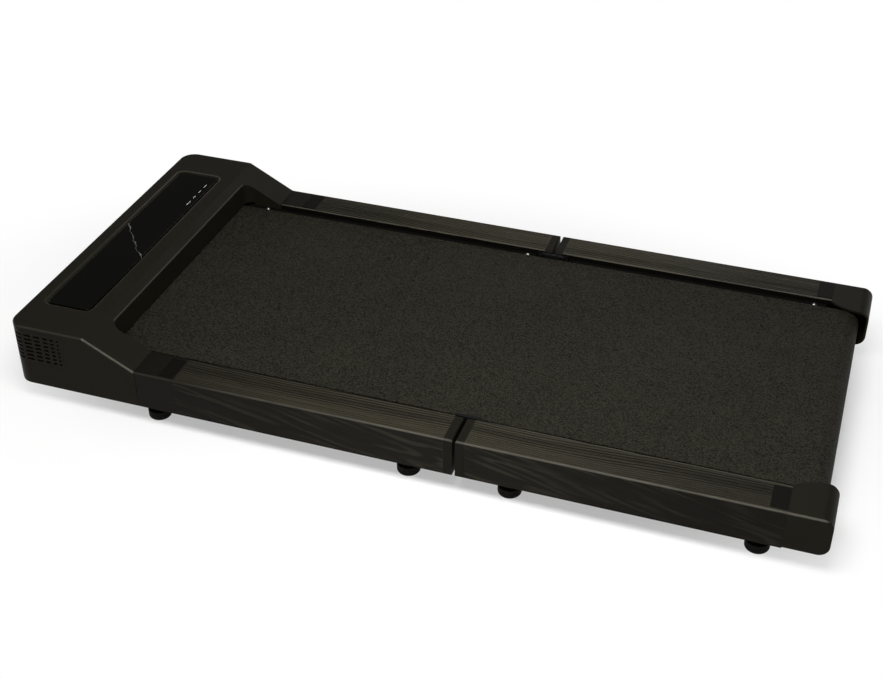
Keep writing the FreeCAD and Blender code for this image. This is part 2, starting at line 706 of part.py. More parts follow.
def belt_mouth():
    """The open mouth where the belt comes out from under the head, and the slot below its lip."""
    mouth = new_body("belt_mouth")
    sketch = outline(sketch_on(mouth, "belt_mouth_outline", "XY_Plane", rail_bottom - d.overrun), [
        (mouth_wall, -mouth_half), (head_rear + d.overrun, -mouth_half),
        (head_rear + d.overrun, mouth_half), (mouth_wall, mouth_half),
    ])
    pad(mouth, sketch, d.head_height + d.overrun * 2)
    doc.recompute()
    corners = []
    for sign in (1, -1):
        corners += edges_at(mouth.Shape, x=mouth_wall, y=mouth_half * sign)
    soften(mouth, d.mouth_corner_radius, corners)
    reach = mouth_half + d.head_wall
    lip = box("belt_slot", mouth_wall - d.head_wall - d.overrun, mouth_wall + d.mouth_corner_radius,
              -reach, reach, rail_bottom - d.overrun, belt_top + d.mouth_clearance)
    under = box("deck_slot", mouth_wall, head_rear + d.overrun, -reach, reach,
                rail_bottom - d.overrun, skirt_bottom)
    return mouth, lip, under


def panel_spans(margin):
    front = head_front + d.panel_setback
    half = half_width - d.panel_side_inset
    return (front - margin, front + d.panel_width + margin, -half - margin, half + margin,
            d.panel_corner_radius + margin)


def panel_recess():
    """A dished recess whose walls slope down to the panel's edge."""
    body = new_body("panel_recess")
    floor = sketch_on(body, "panel_recess_floor", "XY_Plane", head_top - d.panel_recess)
    round_outline(floor, *panel_spans(d.panel_gap))
    rim = sketch_on(body, "panel_recess_rim", "XY_Plane", head_top)
    round_outline(rim, *panel_spans(d.panel_moat))
    made = body.newObject("PartDesign::AdditiveLoft", "panel_recess_loft")
    made.Profile = floor
    made.Sections = [rim]
    made.Ruled = True
    return body


def wall_window(name, place_y, width, height):
    return box(name, head_front - d.overrun, head_front + d.head_wall + d.overrun,
               place_y - width / 2, place_y + width / 2, inlet_z - height / 2, inlet_z + height / 2)


def vent_box(name, seam):
    front = head_front + d.vent_front
    bottom = rail_bottom + d.vent_rise
    top = head_top - d.vent_top_inset
    return box(name, front + seam, front + d.vent_length - seam, -half_width - d.overrun,
               -half_width + d.head_corner_radius, bottom + seam, top - seam)


def head_parts():
    shell = cut("head_shell", head_blank(), *head_cavity(), *belt_mouth(), panel_recess(),
                wall_window("inlet_window", inlet_y, d.inlet_width, d.inlet_height),
                wall_window("switch_window", switch_y, d.switch_width, d.switch_height))
    left_window = vent_box("vent_window", zero)
    subpart(cut("head_cover", shell, left_window, mirror("vent_window_right", left_window)))
    strip = common("vent_strip", shell, vent_box("vent_strip_box", d.vent_seam))
    subpart(both_sides("vent_grilles", [cut("vent_grille", strip, *vent_slots())]))


def vent_slots():
    """Rows of round-ended slots that shorten towards the rear."""
    slots = []
    radius = d.slot_height / 2
    x = head_front + d.vent_front + d.vent_end_margin
    first_z = rail_bottom + d.vent_rise + d.vent_margin + radius
    last_z = head_top - d.vent_top_inset - d.vent_margin - radius
    levels = evenly(first_z, last_z, vent_rows)
    run = d.vent_length - d.vent_end_margin * 2 - d.slot_gap * (vent_columns - 1)
    longest = run * 2 / vent_columns - d.slot_shortest
    for length in evenly(longest, d.slot_shortest, vent_columns):
        column = len(slots) // vent_rows
        for row, z in enumerate(levels):
            name = f"slot{column}_{row}"
            bar = box(f"{name}_bar", x + radius, x + length - radius, -half_width - d.overrun,
                      -half_width + d.head_corner_radius, z - radius, z + radius)
            ends = [rod(f"{name}_end{end}", "y", place_x, -half_width - d.overrun, z, radius,
                        d.head_corner_radius + d.overrun)
                    for end, place_x in enumerate((x + radius, x + length - radius))]
            slots.append(fuse(name, bar, *ends))
        x = x + length + d.slot_gap
    return [group("vent_slots", slots)]


def display_parts():
    panel = new_body("display_panel")
    sketch = sketch_on(panel, "display_panel_outline", "XY_Plane", head_top - d.panel_recess)
    round_outline(sketch, *panel_spans(zero))
    pad(panel, sketch, d.panel_thickness)
    doc.recompute()
    top = head_top - d.panel_recess + d.panel_thickness
    soften(panel, d.panel_edge_radius, edges_at(panel.Shape, z=top))
    subpart(panel)
    x0, x1, y0, y1, radius = panel_spans(zero)
    under = head_top - d.head_roof
    subpart(box("display_board", x0 + d.board_margin, x1 - d.board_margin, y0 + d.board_margin,
                y1 - d.board_margin, under - d.board_thickness, under))


def pan_parts():
    edge = half_width - d.head_wall - d.fit_clearance
    front = head_front + d.head_toe_radius + d.fit_clearance
    plate = new_body("base_plate")
    sketch = outline(sketch_on(plate, "base_plate_outline", "XY_Plane", pan_bottom),
                     [(front, -edge), (head_rear, -edge), (head_rear, edge), (front, edge)])
    pad(plate, sketch, d.pan_thickness)
    doc.recompute()
    corners = []
    for sign in (1, -1):
        corners += edges_at(plate.Shape, x=front, y=edge * sign)
    soften(plate, d.head_corner_radius - d.head_wall, corners)
    gap = d.wheel_gap
    well_length = d.wheel_diameter / 2 + gap
    well_width = d.wheel_width / 2 + gap
    well = box("wheel_well", wheel_x - well_length, wheel_x + well_length, -wheel_y - well_width,
               -wheel_y + well_width, pan_bottom - d.overrun, pan_top + d.overrun)
    subpart(cut("base_pan", plate, well, mirror("wheel_well_right", well)))


def wheel_parts():
    radius = d.wheel_diameter / 2
    half = d.wheel_width / 2
    bore = d.wheel_axle_diameter / 2 + d.running_clearance
    soft = d.wheel_tread_radius
    profile = [(bore, -half), (radius - soft, -half), (radius, -half + soft), (radius, half - soft),
               (radius - soft, half), (bore, half)]
    left = subpart(turned("left_transport_wheel", profile, "y", wheel_x, -wheel_y, wheel_z))
    subpart(mirror("right_transport_wheel", left))
    cheeks = []
    start = half + d.wheel_gap
    end = start + d.cheek_thickness
    seat = wheel_z - d.cheek_drop
    for side, y0, y1 in (("outer", -wheel_y - end, -wheel_y - start),
                         ("inner", -wheel_y + start, -wheel_y + end)):
        body = new_body(f"{side}_cheek")
        span = d.cheek_width / 2
        sketch = outline(sketch_on(body, f"{side}_cheek_outline", "XZ_Plane", -y1), [
            (wheel_x - span, pan_bottom), (wheel_x - span * cheek_foot_share, seat),
            (wheel_x + span * cheek_foot_share, seat), (wheel_x + span, pan_bottom),
        ])
        pad(body, sketch, d.cheek_thickness)
        hole = rod(f"{side}_cheek_hole", "y", wheel_x, y0 - d.overrun, wheel_z,
                   d.wheel_axle_diameter / 2 + d.press_clearance, d.cheek_thickness + d.overrun * 2)
        cheeks.append(cut(f"{side}_cheek_plate", body, hole))
    subpart(both_sides("wheel_brackets", cheeks))
    shank = rod("wheel_axle_shank", "y", wheel_x, -wheel_y - end, wheel_z,
                d.wheel_axle_diameter / 2, end * 2)
    heads = [rod("wheel_axle_outer_head", "y", wheel_x, -wheel_y - end - d.axle_head_height,
                 wheel_z, d.axle_head_diameter / 2, d.axle_head_height),
             rod("wheel_axle_inner_head", "y", wheel_x, -wheel_y + end, wheel_z,
                 d.axle_head_diameter / 2, d.axle_head_height)]
    subpart(both_sides("wheel_axles", [fuse("wheel_axle", shank, *heads)]))


def motor_parts():
    """A hollow housing round a rotor, whose shaft carries the small pulley."""
    radius = motor_radius
    bell = radius - d.motor_bell_inset
    inside = radius - d.motor_wall
    shaft = d.shaft_diameter / 2
    bore = shaft + d.running_clearance
    length = d.motor_length
    near = d.motor_end
    far = length - d.motor_end
    housing = [(bore, zero), (bell, zero), (bell, near), (radius, near), (radius, far), (bell, far),
               (bell, length), (bore, length), (bore, far), (inside, far), (inside, near), (bore, near)]
    subpart(turned("motor_housing", housing, "y", motor_x, motor_start, motor_z))
    core = inside - d.rotor_gap
    core_start = near + d.rotor_end_gap
    core_end = far - d.rotor_end_gap
    shaft_end = pulley_end - motor_start
    rotor = [(zero, -d.shaft_stub), (shaft, -d.shaft_stub), (shaft, core_start), (core, core_start),
             (core, core_end), (shaft, core_end), (shaft, shaft_end), (zero, shaft_end)]
    subpart(turned("motor_shaft", rotor, "y", motor_x, motor_start, motor_z))
    pulley("motor_pulley", d.motor_pulley_diameter / 2, shaft + d.press_clearance, motor_x, motor_z)
    middle = motor_start + length / 2
    block = box("motor_cradle_block", motor_x - d.cradle_width / 2, motor_x + d.cradle_width / 2,
                middle - d.cradle_length / 2, middle + d.cradle_length / 2, pan_top,
                pan_top + d.cradle_height)
    hollow = rod("motor_cradle_hollow", "y", motor_x, middle - d.cradle_length, motor_z,
                 radius + d.fit_clearance, d.cradle_length * 2)
    subpart(cut("motor_bracket", block, hollow))


def drive_parts():
    roller("drive_roller", drive_roller_x)
    bore = d.axle_diameter / 2 + d.pulley_bore_gap
    pulley("drive_pulley", drive_pulley_radius, bore, drive_roller_x, roller_z)
    reach = tube_inner + d.tube_wall
    subpart(rod("drive_axle", "y", drive_roller_x, -reach, roller_z, d.axle_diameter / 2, reach * 2))
    land = (d.pulley_width - d.drive_belt_width) / 2
    belt_round("drive_belt", (motor_x, motor_z), d.motor_pulley_diameter / 2 + d.belt_clearance,
               (drive_roller_x, roller_z), drive_pulley_radius + d.belt_clearance, belt_height,
               pulley_start + land, pulley_end - land)
    belt_round("walking_belt", (drive_roller_x, roller_z), belt_bend, (rear_roller_x, roller_z), belt_bend,
               d.belt_thickness, -belt_half, belt_half)


def control_parts():
    """The motor's control board on four standoffs, with a finned heat sink on it."""
    y0 = d.control_inset - half_width
    y1 = y0 + d.control_length
    x0 = motor_x - d.control_width / 2
    x1 = motor_x + d.control_width / 2
    bottom = pan_top + d.standoff_height
    pieces = [box("control_sheet", x0, x1, y0, y1, bottom, bottom + d.board_thickness)]
    inset = d.standoff_inset
    corners = [(x, y) for x in (x0 + inset, x1 - inset) for y in (y0 + inset, y1 - inset)]
    for index, (x, y) in enumerate(corners, 1):
        pieces.append(rod(f"standoff{index}", "z", x, y, pan_top, d.standoff_diameter / 2,
                          d.standoff_height))
    subpart(group("control_board", pieces))
    sink = new_body("heat_sink")
    base_z = bottom + d.board_thickness
    middle = y0 + d.control_length / 2
    left = motor_x - d.sink_width / 2
    base = outline(sketch_on(sink, "heat_sink_base", "XY_Plane", base_z), [
        (left, middle - d.sink_length / 2), (left + d.sink_width, middle - d.sink_length / 2),
        (left + d.sink_width, middle + d.sink_length / 2), (left, middle + d.sink_length / 2),
    ])
    pad(sink, base, d.sink_base)
    fin_sketch = outline(sketch_on(sink, "heat_sink_fin", "XY_Plane", base_z + d.sink_base), [
        (left, middle - d.sink_length / 2), (left + d.fin_thickness, middle - d.sink_length / 2),
        (left + d.fin_thickness, middle + d.sink_length / 2), (left, middle + d.sink_length / 2),
    ])
    fin = pad(sink, fin_sketch, d.fin_height)
    fins = sink.newObject("PartDesign::LinearPattern", "heat_sink_fins")
    fins.Originals = [fin]
    fins.Direction = (base, ["H_Axis"])
    fins.Occurrences = sink_fins
    bind(fins, "Length", d.fin_pitch * (sink_fins - 1))
    sink.Tip = fins
    subpart(sink)


def framed_box(name, place_y, width, height, depth):
    """A body that fills a window in the front wall, with a flange behind the wall."""
    face = head_front + d.face_sink
    back = head_front + d.head_wall
    clear = d.fit_clearance
    core = box(f"{name}_core", face, face + depth, place_y - width / 2 + clear, place_y + width / 2 - clear,
               inlet_z - height / 2 + clear, inlet_z + height / 2 - clear)
    collar = box(f"{name}_collar", back, back + d.flange_thickness, place_y - width / 2 - d.flange,
                 place_y + width / 2 + d.flange, inlet_z - height / 2 - d.flange,
                 inlet_z + height / 2 + d.flange)
    return fuse(f"{name}_block", core, collar)


def inlet_parts():
    face = head_front + d.face_sink
    floor = face + d.inlet_depth - d.socket_floor
    half_wide = d.inlet_width / 2 - d.inlet_shell
    half_high = d.inlet_height / 2 - d.inlet_shell
    socket = box("inlet_socket", face - d.overrun, floor, inlet_y - half_wide, inlet_y + half_wide,
                 inlet_z - half_high, inlet_z + half_high)
    block = framed_box("inlet", inlet_y, d.inlet_width, d.inlet_height, d.inlet_depth)
    shell = cut("inlet_shell", block, socket)
    pins = []
    for index, (shift, rise) in enumerate(((-d.inlet_pin_spread, zero), (zero, d.inlet_pin_rise),
                                           (d.inlet_pin_spread, zero)), 1):
        y = inlet_y + shift
        z = inlet_z + rise
        pins.append(box(f"inlet_pin{index}", floor - d.inlet_pin_length, floor, y - d.inlet_pin_width / 2,
                        y + d.inlet_pin_width / 2, z - d.inlet_pin_height / 2, z + d.inlet_pin_height / 2))
    subpart(fuse("power_inlet", shell, *pins))


def switch_parts():
    """A rocker on a cross pivot in its bezel, resting with its upper half pressed in."""
    face = head_front + d.face_sink
    middle = switch_y
    half_wide = d.switch_width / 2 - d.bezel_wall
    half_high = d.switch_height / 2 - d.bezel_wall
    well = box("switch_well", face - d.overrun, face + d.switch_depth - d.bezel_wall,
               middle - half_wide, middle + half_wide, inlet_z - half_high, inlet_z + half_high)
    block = framed_box("switch", middle, d.switch_width, d.switch_height, d.switch_depth)
    pivot_x = face + d.rocker_depth
    bore = d.pivot_diameter / 2 + d.running_clearance
    hole = rod("pivot_hole", "y", pivot_x, middle - half_wide - d.bezel_wall / 2, inlet_z, bore,
               half_wide * 2 + d.bezel_wall)
    subpart(cut("switch_bezel", block, well, hole))
    rocker = new_body("rocker_switch_block")
    reach = half_high - d.rocker_gap * 2
    lift = d.rocker_depth - d.rocker_dish
    sketch = outline(sketch_on(rocker, "rocker_profile", "XZ_Plane"), [
        (-lift, -reach + d.rocker_dish), (-lift + d.rocker_dish, zero), (-lift, reach - d.rocker_dish),
        (zero, reach), (d.rocker_back, reach * rocker_back_share),
        (d.rocker_back, -reach * rocker_back_share), (zero, -reach),
    ])
    pad(rocker, sketch, (half_wide - d.rocker_gap) * 2, symmetric=True)
    pivot = rod("rocker_pivot", "y", zero, -half_wide - d.bezel_wall / 2 + d.running_clearance, zero,
                d.pivot_diameter / 2, (half_wide + d.bezel_wall / 2 - d.running_clearance) * 2)
    whole = fuse("rocker_switch", rocker, pivot)
    tilt = FreeCAD.Rotation(FreeCAD.Vector(0, 1, 0), d.rocker_tilt.value)
    whole.Placement = FreeCAD.Placement(FreeCAD.Vector(), tilt)
    subpart(place(whole, pivot_x, middle, inlet_z))


def fold_parts():
    """Flat links beside the belt, each on two pins, and the brackets that the pins turn in."""
    radius = d.link_height / 2
    bar = box("link_bar", front_pin_x, rear_pin_x, -link_outer, -link_inner,
              hinge_z - radius, hinge_z + radius)
    ends = [rod(f"link_end{index}", "y", x, -link_outer, hinge_z, radius, d.link_thickness)
            for index, x in enumerate((front_pin_x, rear_pin_x), 1)]
    holes, pins = [], []
    pin_end = tube_inner - d.link_gap
    for half, x in (("front", front_pin_x), ("rear", rear_pin_x)):
        holes.append(rod(f"{half}_link_hole", "y", x, -link_outer - d.overrun, hinge_z,
                         d.pin_diameter / 2 + d.press_clearance, d.link_thickness + d.overrun * 2))
        shank = rod(f"{half}_pin_shank", "y", x, -pin_end, hinge_z, d.pin_diameter / 2,
                    pin_end - link_inner)
        head = rod(f"{half}_pin_head", "y", x, -link_inner, hinge_z, d.pin_head_diameter / 2,
                   d.pin_head_height)
        pins.append(fuse(f"{half}_fold_pin", shank, head))
    subpart(both_sides("fold_links", [cut("fold_link", fuse("link_blank", bar, *ends), *holes)]))
    subpart(both_sides("fold_pins", pins))
    for half, pin_x, away in (("front", front_pin_x, -1), ("rear", rear_pin_x, 1)):
        tail = pin_x + d.bracket_reach * away
        nose = pin_x - d.bracket_nose * away
        first, last = (tail, nose) if away < 0 else (nose, tail)
        block = box(f"{half}_bracket_block", first, last, -tube_inner, -bracket_face,
                    hinge_z - d.bracket_drop, hinge_z + d.bracket_lip)
        bore = rod(f"{half}_bracket_bore", "y", pin_x, -tube_inner - d.overrun, hinge_z,
                   d.pin_diameter / 2 + d.running_clearance, tube_inner - bracket_face + d.overrun * 2)
        subpart(both_sides(f"{half}_hinge_brackets", [cut(f"{half}_hinge_bracket", block, bore)]))


def front_half():
    window = front_pin_x - d.bracket_reach - d.fit_clearance
    band_start = front_end - d.band_length
    rail_cover("front_rail_cover", rail_start, band_start, window, band_start + d.overrun,
               rail_start + d.front_cover_place)
    rail_end_cap("front_rail_end_caps", band_start, front_end - d.end_wall, front_end, window,
                 front_end - d.end_wall)
    screw_covers("front_screw_covers", rail_start + d.front_cover_place)
    feet = [head_front + d.front_foot_place, split - d.fold_foot_place]
    axle_hole = rod("drive_axle_hole", "y", drive_roller_x, -tube_inner - d.tube_wall * 2, roller_z,
                    d.axle_diameter / 2 + d.press_clearance, d.tube_wall * 2 + d.overrun)
    side_tube("front_side_tube", head_front + d.tube_setback, front_end - d.end_wall - d.fit_clearance,
              [axle_hole] + [stud_hole(f"front_stud_hole{index}", x) for index, x in enumerate(feet, 1)])
    foot_set("front", feet)
    places = evenly(front_deck_start + d.cross_tube_setback, front_deck_end - d.cross_tube_setback,
                    cross_tubes_per_half)
    screw_xs = [places[0], places[-1]]
    cross_tubes("front", places, screw_xs)
    deck("front_deck_board", front_deck_start, front_deck_end, front_deck_end, screw_xs)
    deck_screws("front_deck_screws", screw_xs)


def rear_half():
    window = rear_pin_x + d.bracket_reach + d.fit_clearance
    band_end = rear_start + d.band_length
    cover_start = cap_front - d.cover_length
    rail_cover("rear_rail_cover", band_end, cap_front, band_end - d.overrun, window, cover_start)
    rail_end_cap("rear_rail_end_caps", rear_start, rear_start, rear_start, rear_start + d.end_wall, window)
    screw_covers("rear_screw_covers", cover_start)
    feet = [split + d.fold_foot_place, rear_end - d.rear_foot_place]
    slot_half = d.axle_diameter / 2 + d.fit_clearance
    slot = box("rear_axle_slot", rear_roller_x - slot_half - d.tension_travel,
               rear_roller_x + slot_half + d.tension_travel, -tube_inner - d.tube_wall * 2,
               -tube_inner + d.overrun, roller_z - slot_half, roller_z + slot_half)
    tube_end = rear_end - d.tube_end_inset
    side_tube("rear_side_tube", rear_start + d.end_wall + d.fit_clearance, tube_end,
              [slot] + [stud_hole(f"rear_stud_hole{index}", x) for index, x in enumerate(feet, 1)])
    foot_set("rear", feet)
    places = evenly(rear_deck_start + d.cross_tube_setback, rear_deck_end - d.rear_cross_tube_setback,
                    cross_tubes_per_half)
    screw_xs = [places[-1]]
    cross_tubes("rear", places, screw_xs)
    deck("rear_deck_board", rear_deck_start, rear_deck_end, rear_deck_start, screw_xs)
    deck_screws("rear_deck_screws", screw_xs)
    rear_end_caps()
    tension_parts(tube_end)


def rear_end_caps():
    """Moulded corner caps: round at the rear, hollow inside, flared inwards over the belt's edge."""
    inner = inner_face - d.cap_reach
    body = new_body("rear_end_cap_blank")
    profile = outline(sketch_on(body, "rear_end_cap_profile", "XZ_Plane", inner), [
        (cap_front, rail_bottom), (rear_end, rail_bottom), (rear_end, rail_top), (cap_front, rail_top),
    ])
    pad(body, profile, half_width - inner)
    doc.recompute()
    rear_edges = [name for level in (rail_top, rail_bottom)
                  for name in edges_at(body.Shape, x=rear_end, z=level)]
    soften(body, d.cap_corner_radius, rear_edges)
    doc.recompute()
    rim = [name for name in edges_at(body.Shape, y=-half_width)
           if not edge_runs_at(body.Shape, name, cap_front)]
    soften(body, smaller(d.rail_edge_radius, d.cap_wall), rim)
    wall = d.cap_wall
    hollow = new_body("rear_end_cap_hollow")
    inside = outline(sketch_on(hollow, "rear_end_cap_inside", "XZ_Plane", inner - d.overrun), [
        (cap_front - d.overrun, rail_bottom + wall), (rear_end - wall, rail_bottom + wall),
        (rear_end - wall, rail_top - wall), (cap_front - d.overrun, rail_top - wall),
    ])
    pad(hollow, inside, half_width - wall - inner + d.overrun)
    doc.recompute()
    inner_edges = edges_at(hollow.Shape, x=rear_end - wall, z=rail_top - wall)
    inner_edges += edges_at(hollow.Shape, x=rear_end - wall, z=rail_bottom + wall)
    soften(hollow, d.cap_corner_radius - wall, inner_edges)
    sweep = d.cap_reach - d.cap_step
    flare = (d.cap_flare_length * d.cap_flare_length + sweep * sweep) / (sweep * 2)
    disc = rod("rear_end_cap_flare", "z", cap_front + d.cap_flare_length, -inner - flare,
               rail_bottom - d.overrun, flare, d.rail_height + d.overrun * 2)
    access = rod("tension_access", "x", rear_end - d.cap_wall - d.overrun, -tube_middle, roller_z,
                 d.access_diameter / 2, d.cap_wall + d.overrun * 2)
    shell = cut("rear_end_cap_shell", body, hollow, access)
    left = subpart(common("left_rear_end_cap", shell, disc))
    subpart(mirror("right_rear_end_cap", left))


def edge_runs_at(shape, name, x):
    edge = shape.Edges[int(name[4:]) - 1]
    return all(abs(vertex.X - x.value) < tolerance for vertex in edge.Vertexes)


def tension_parts(tube_end):
    """The rear roller on its axle, which two long screws pull back to tighten the belt."""
    roller("rear_roller", rear_roller_x)
    bore = d.tension_diameter / 2 + d.running_clearance
    reach = tube_middle + d.tension_diameter
    axle = rod("rear_axle_rod", "y", rear_roller_x, -reach, roller_z, d.axle_diameter / 2, reach * 2)
    tap = rod("rear_axle_tap", "x", rear_roller_x - d.axle_diameter, -tube_middle, roller_z, bore,
              d.axle_diameter * 2)
    subpart(cut("rear_axle", axle, tap, mirror("rear_axle_tap_right", tap)))
    plate = box("rear_tube_plate", tube_end, tube_end + d.plug_thickness, -tube_outer, -tube_inner,
                tube_bottom, tube_top)
    hole = rod("rear_tube_plate_hole", "x", tube_end - d.overrun, -tube_middle, roller_z, bore,
               d.plug_thickness + d.overrun * 2)
    subpart(both_sides("rear_tube_plugs", [cut("rear_tube_plug", plate, hole)]))
    seat = tube_end + d.plug_thickness
    shank = rod("tension_shank", "x", seat - d.tension_length, -tube_middle, roller_z,
                d.tension_diameter / 2, d.tension_length)
    head = rod("tension_head", "x", seat, -tube_middle, roller_z, d.tension_head_diameter / 2,
               d.tension_head_height)
    key = hexagon("tension_key", "x", seat + d.tension_head_height - d.socket_depth, -tube_middle, roller_z,
                  d.tension_socket, d.socket_depth + d.overrun)
    left = subpart(cut("left_tension_screw", fuse("tension_screw_blank", shank, head), key))
    subpart(mirror("right_tension_screw", left))


head_parts()
display_parts()
pan_parts()
wheel_parts()
motor_parts()
drive_parts()
control_parts()
inlet_parts()
switch_parts()
front_half()
fold_parts()
rear_half()
doc.recompute()

for item in doc.Objects:
    if "Invalid" in item.State or "Error" in item.State:
        raise RuntimeError(f"{item.Label} did not build: {item.State}")
for part in parts:
    if part.Shape.isNull() or not part.Shape.isValid():
        raise RuntimeError(f"{part.Label} has no valid shape")

os.makedirs("parts", exist_ok=True)
for part in parts:
    part.Shape.exportStep(f"parts/{part.Label}.step")
print(f"{len(parts)} parts written")
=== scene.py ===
import json
import math
import bpy
import bmesh
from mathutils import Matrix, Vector


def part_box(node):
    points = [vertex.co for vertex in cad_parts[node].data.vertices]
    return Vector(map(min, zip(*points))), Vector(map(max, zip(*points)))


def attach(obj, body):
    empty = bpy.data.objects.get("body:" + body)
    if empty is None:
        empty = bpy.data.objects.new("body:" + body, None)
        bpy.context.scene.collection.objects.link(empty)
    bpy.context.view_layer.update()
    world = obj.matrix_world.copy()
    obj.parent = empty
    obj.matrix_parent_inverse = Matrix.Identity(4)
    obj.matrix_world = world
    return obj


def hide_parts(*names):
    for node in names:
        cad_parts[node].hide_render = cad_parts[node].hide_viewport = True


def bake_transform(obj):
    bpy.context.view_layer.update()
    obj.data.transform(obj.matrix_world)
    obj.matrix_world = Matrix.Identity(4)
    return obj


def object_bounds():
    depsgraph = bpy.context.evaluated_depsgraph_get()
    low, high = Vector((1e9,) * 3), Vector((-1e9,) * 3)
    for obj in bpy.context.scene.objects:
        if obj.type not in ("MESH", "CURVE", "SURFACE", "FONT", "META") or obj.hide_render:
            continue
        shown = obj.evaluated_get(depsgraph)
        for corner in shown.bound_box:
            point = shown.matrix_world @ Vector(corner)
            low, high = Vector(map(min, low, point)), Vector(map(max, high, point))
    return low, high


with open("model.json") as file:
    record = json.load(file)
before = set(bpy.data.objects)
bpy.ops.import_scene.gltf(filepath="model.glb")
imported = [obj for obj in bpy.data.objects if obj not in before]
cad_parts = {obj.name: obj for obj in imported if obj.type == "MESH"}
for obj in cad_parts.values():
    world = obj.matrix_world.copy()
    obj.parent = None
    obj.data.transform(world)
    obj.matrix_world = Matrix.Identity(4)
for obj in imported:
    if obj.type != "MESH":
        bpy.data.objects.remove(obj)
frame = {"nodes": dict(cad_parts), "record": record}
cadBounds = [list(corner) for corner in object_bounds()]
cadNodes = frame["nodes"]
scene = bpy.context.scene
scene.view_settings.view_transform = "Standard"
print("frame loaded:", len(cadNodes), "nodes")


def tone(red, green, blue):
    # screen values 0-255 to the linear colour that a socket takes
    linear = []
    for value in (red, green, blue):
        share = value / 255
        linear.append(share / 12.92 if share <= 0.04045 else ((share + 0.055) / 1.055) ** 2.4)
    return (*linear, 1.0)


def put(tree, kind, inputs=None, **settings):
    # a new node; each input is a socket to link or a plain value
    node = tree.nodes.new(kind)
    for key, value in settings.items():
        setattr(node, key, value)
    for key, value in (inputs or {}).items():
        if isinstance(value, bpy.types.NodeSocket):
            tree.links.new(value, node.inputs[key])
        else:
            node.inputs[key].default_value = value
    return node


def calc(tree, operation, first, second=0.5):
    return put(tree, "ShaderNodeMath", {0: first, 1: second}, operation=operation).outputs[0]


def ramp(tree, value, low, high, toLow=0.0, toHigh=1.0):
    node = put(tree, "ShaderNodeMapRange", {"Value": value, "From Min": low, "From Max": high,
                                            "To Min": toLow, "To Max": toHigh},
               interpolation_type="SMOOTHSTEP")
    return node.outputs["Result"]


def mixColor(tree, factor, first, second):
    # 6, 7 and 2 are the colour sockets of a Mix node
    return put(tree, "ShaderNodeMix", {"Factor": factor, 6: first, 7: second}, data_type="RGBA").outputs[2]


# surface effects that several finishes share
def newGroup(name, inputs, outputs):
    group = bpy.data.node_groups.new(name, "ShaderNodeTree")
    for label, kind, value in inputs:
        socket = group.interface.new_socket(label, in_out="INPUT", socket_type=kind)
        if value is not None:
            socket.default_value = value
    for label in outputs:
        group.interface.new_socket(label, in_out="OUTPUT", socket_type="NodeSocketFloat")
    return group, put(group, "NodeGroupInput").outputs, put(group, "NodeGroupOutput").inputs


def makeMouldedGrain():
    # the fine pebbling of a mould's spark-eroded face, and a slow mottle
    group, given, out = newGroup("mouldedGrain", [
        ("Vector", "NodeSocketVector", None), ("Scale", "NodeSocketFloat", 900.0),
        ("Mottle Scale", "NodeSocketFloat", 9.0)], ["Grain", "Mottle"])
    pebble = put(group, "ShaderNodeTexVoronoi", {"Vector": given["Vector"], "Scale": given["Scale"]},
                 feature="SMOOTH_F1")
    haze = put(group, "ShaderNodeTexNoise", {"Vector": given["Vector"], "Scale": given["Scale"],
                                             "Detail": 3.0, "Roughness": 0.6})
    slow = put(group, "ShaderNodeTexNoise", {"Vector": given["Vector"], "Scale": given["Mottle Scale"],
                                             "Detail": 2.0})
    both = calc(group, "ADD", calc(group, "MULTIPLY", pebble.outputs["Distance"], 0.6),
                calc(group, "MULTIPLY", haze.outputs[0], 0.6))
    group.links.new(both, out["Grain"])
    group.links.new(slow.outputs[0], out["Mottle"])
    return group


def makePulledStreaks():
    # noise drawn out along one way: wood pores, brushing, rolling marks
    group, given, out = newGroup("pulledStreaks", [
        ("Vector", "NodeSocketVector", None), ("Stretch", "NodeSocketVector", (10.0, 400.0, 400.0)),
        ("Low", "NodeSocketFloat", 0.4), ("High", "NodeSocketFloat", 0.7)], ["Streak"])
    pulled = put(group, "ShaderNodeVectorMath", {0: given["Vector"], 1: given["Stretch"]},
                 operation="MULTIPLY").outputs[0]
    noise = put(group, "ShaderNodeTexNoise", {"Vector": pulled, "Scale": 1.0, "Detail": 3.0}).outputs[0]
    group.links.new(ramp(group, noise, given["Low"], given["High"]), out["Streak"])
    return group


def makeSpecks():
    # scattered grains, each cell with its own draw
    group, given, out = newGroup("specks", [
        ("Vector", "NodeSocketVector", None), ("Scale", "NodeSocketFloat", 500.0),
        ("Share", "NodeSocketFloat", 0.2)], ["Speck", "Cell"])
    cell = put(group, "ShaderNodeTexVoronoi", {"Vector": given["Vector"], "Scale": given["Scale"]})
    draw = put(group, "ShaderNodeSeparateColor", {"Color": cell.outputs["Color"]}).outputs[0]
    chosen = calc(group, "LESS_THAN", draw, given["Share"])
    bead = ramp(group, cell.outputs["Distance"], 0.15, 0.5, 1.0, 0.0)
    group.links.new(calc(group, "MULTIPLY", chosen, bead), out["Speck"])
    group.links.new(draw, out["Cell"])
    return group


# the shell's outer top edge: level over the head, down the slope, level along the rails
shell = {"halfWidth": 0.27, "headTop": 0.1235, "railTop": 0.085, "crease": -0.446, "slopeFoot": -0.373,
         "edge": 0.003, "step": 0.001, "brightFrom": -0.33, "brightTo": -0.06, "faint": 0.22, "patchScale": 14.0,
         "highlightCore": 0.35, "highlightEnd": 1.05, "patchLow": 0.25, "patchHigh": 0.6, "patchLeast": 0.6,
         "polish": 0.12}


def shellLevel(tree, x):
    node = put(tree, "ShaderNodeMapRange", {"Value": x, "From Min": shell["crease"],
                                            "From Max": shell["slopeFoot"], "To Min": shell["headTop"],
                                            "To Max": shell["railTop"]})
    return node.outputs["Result"]
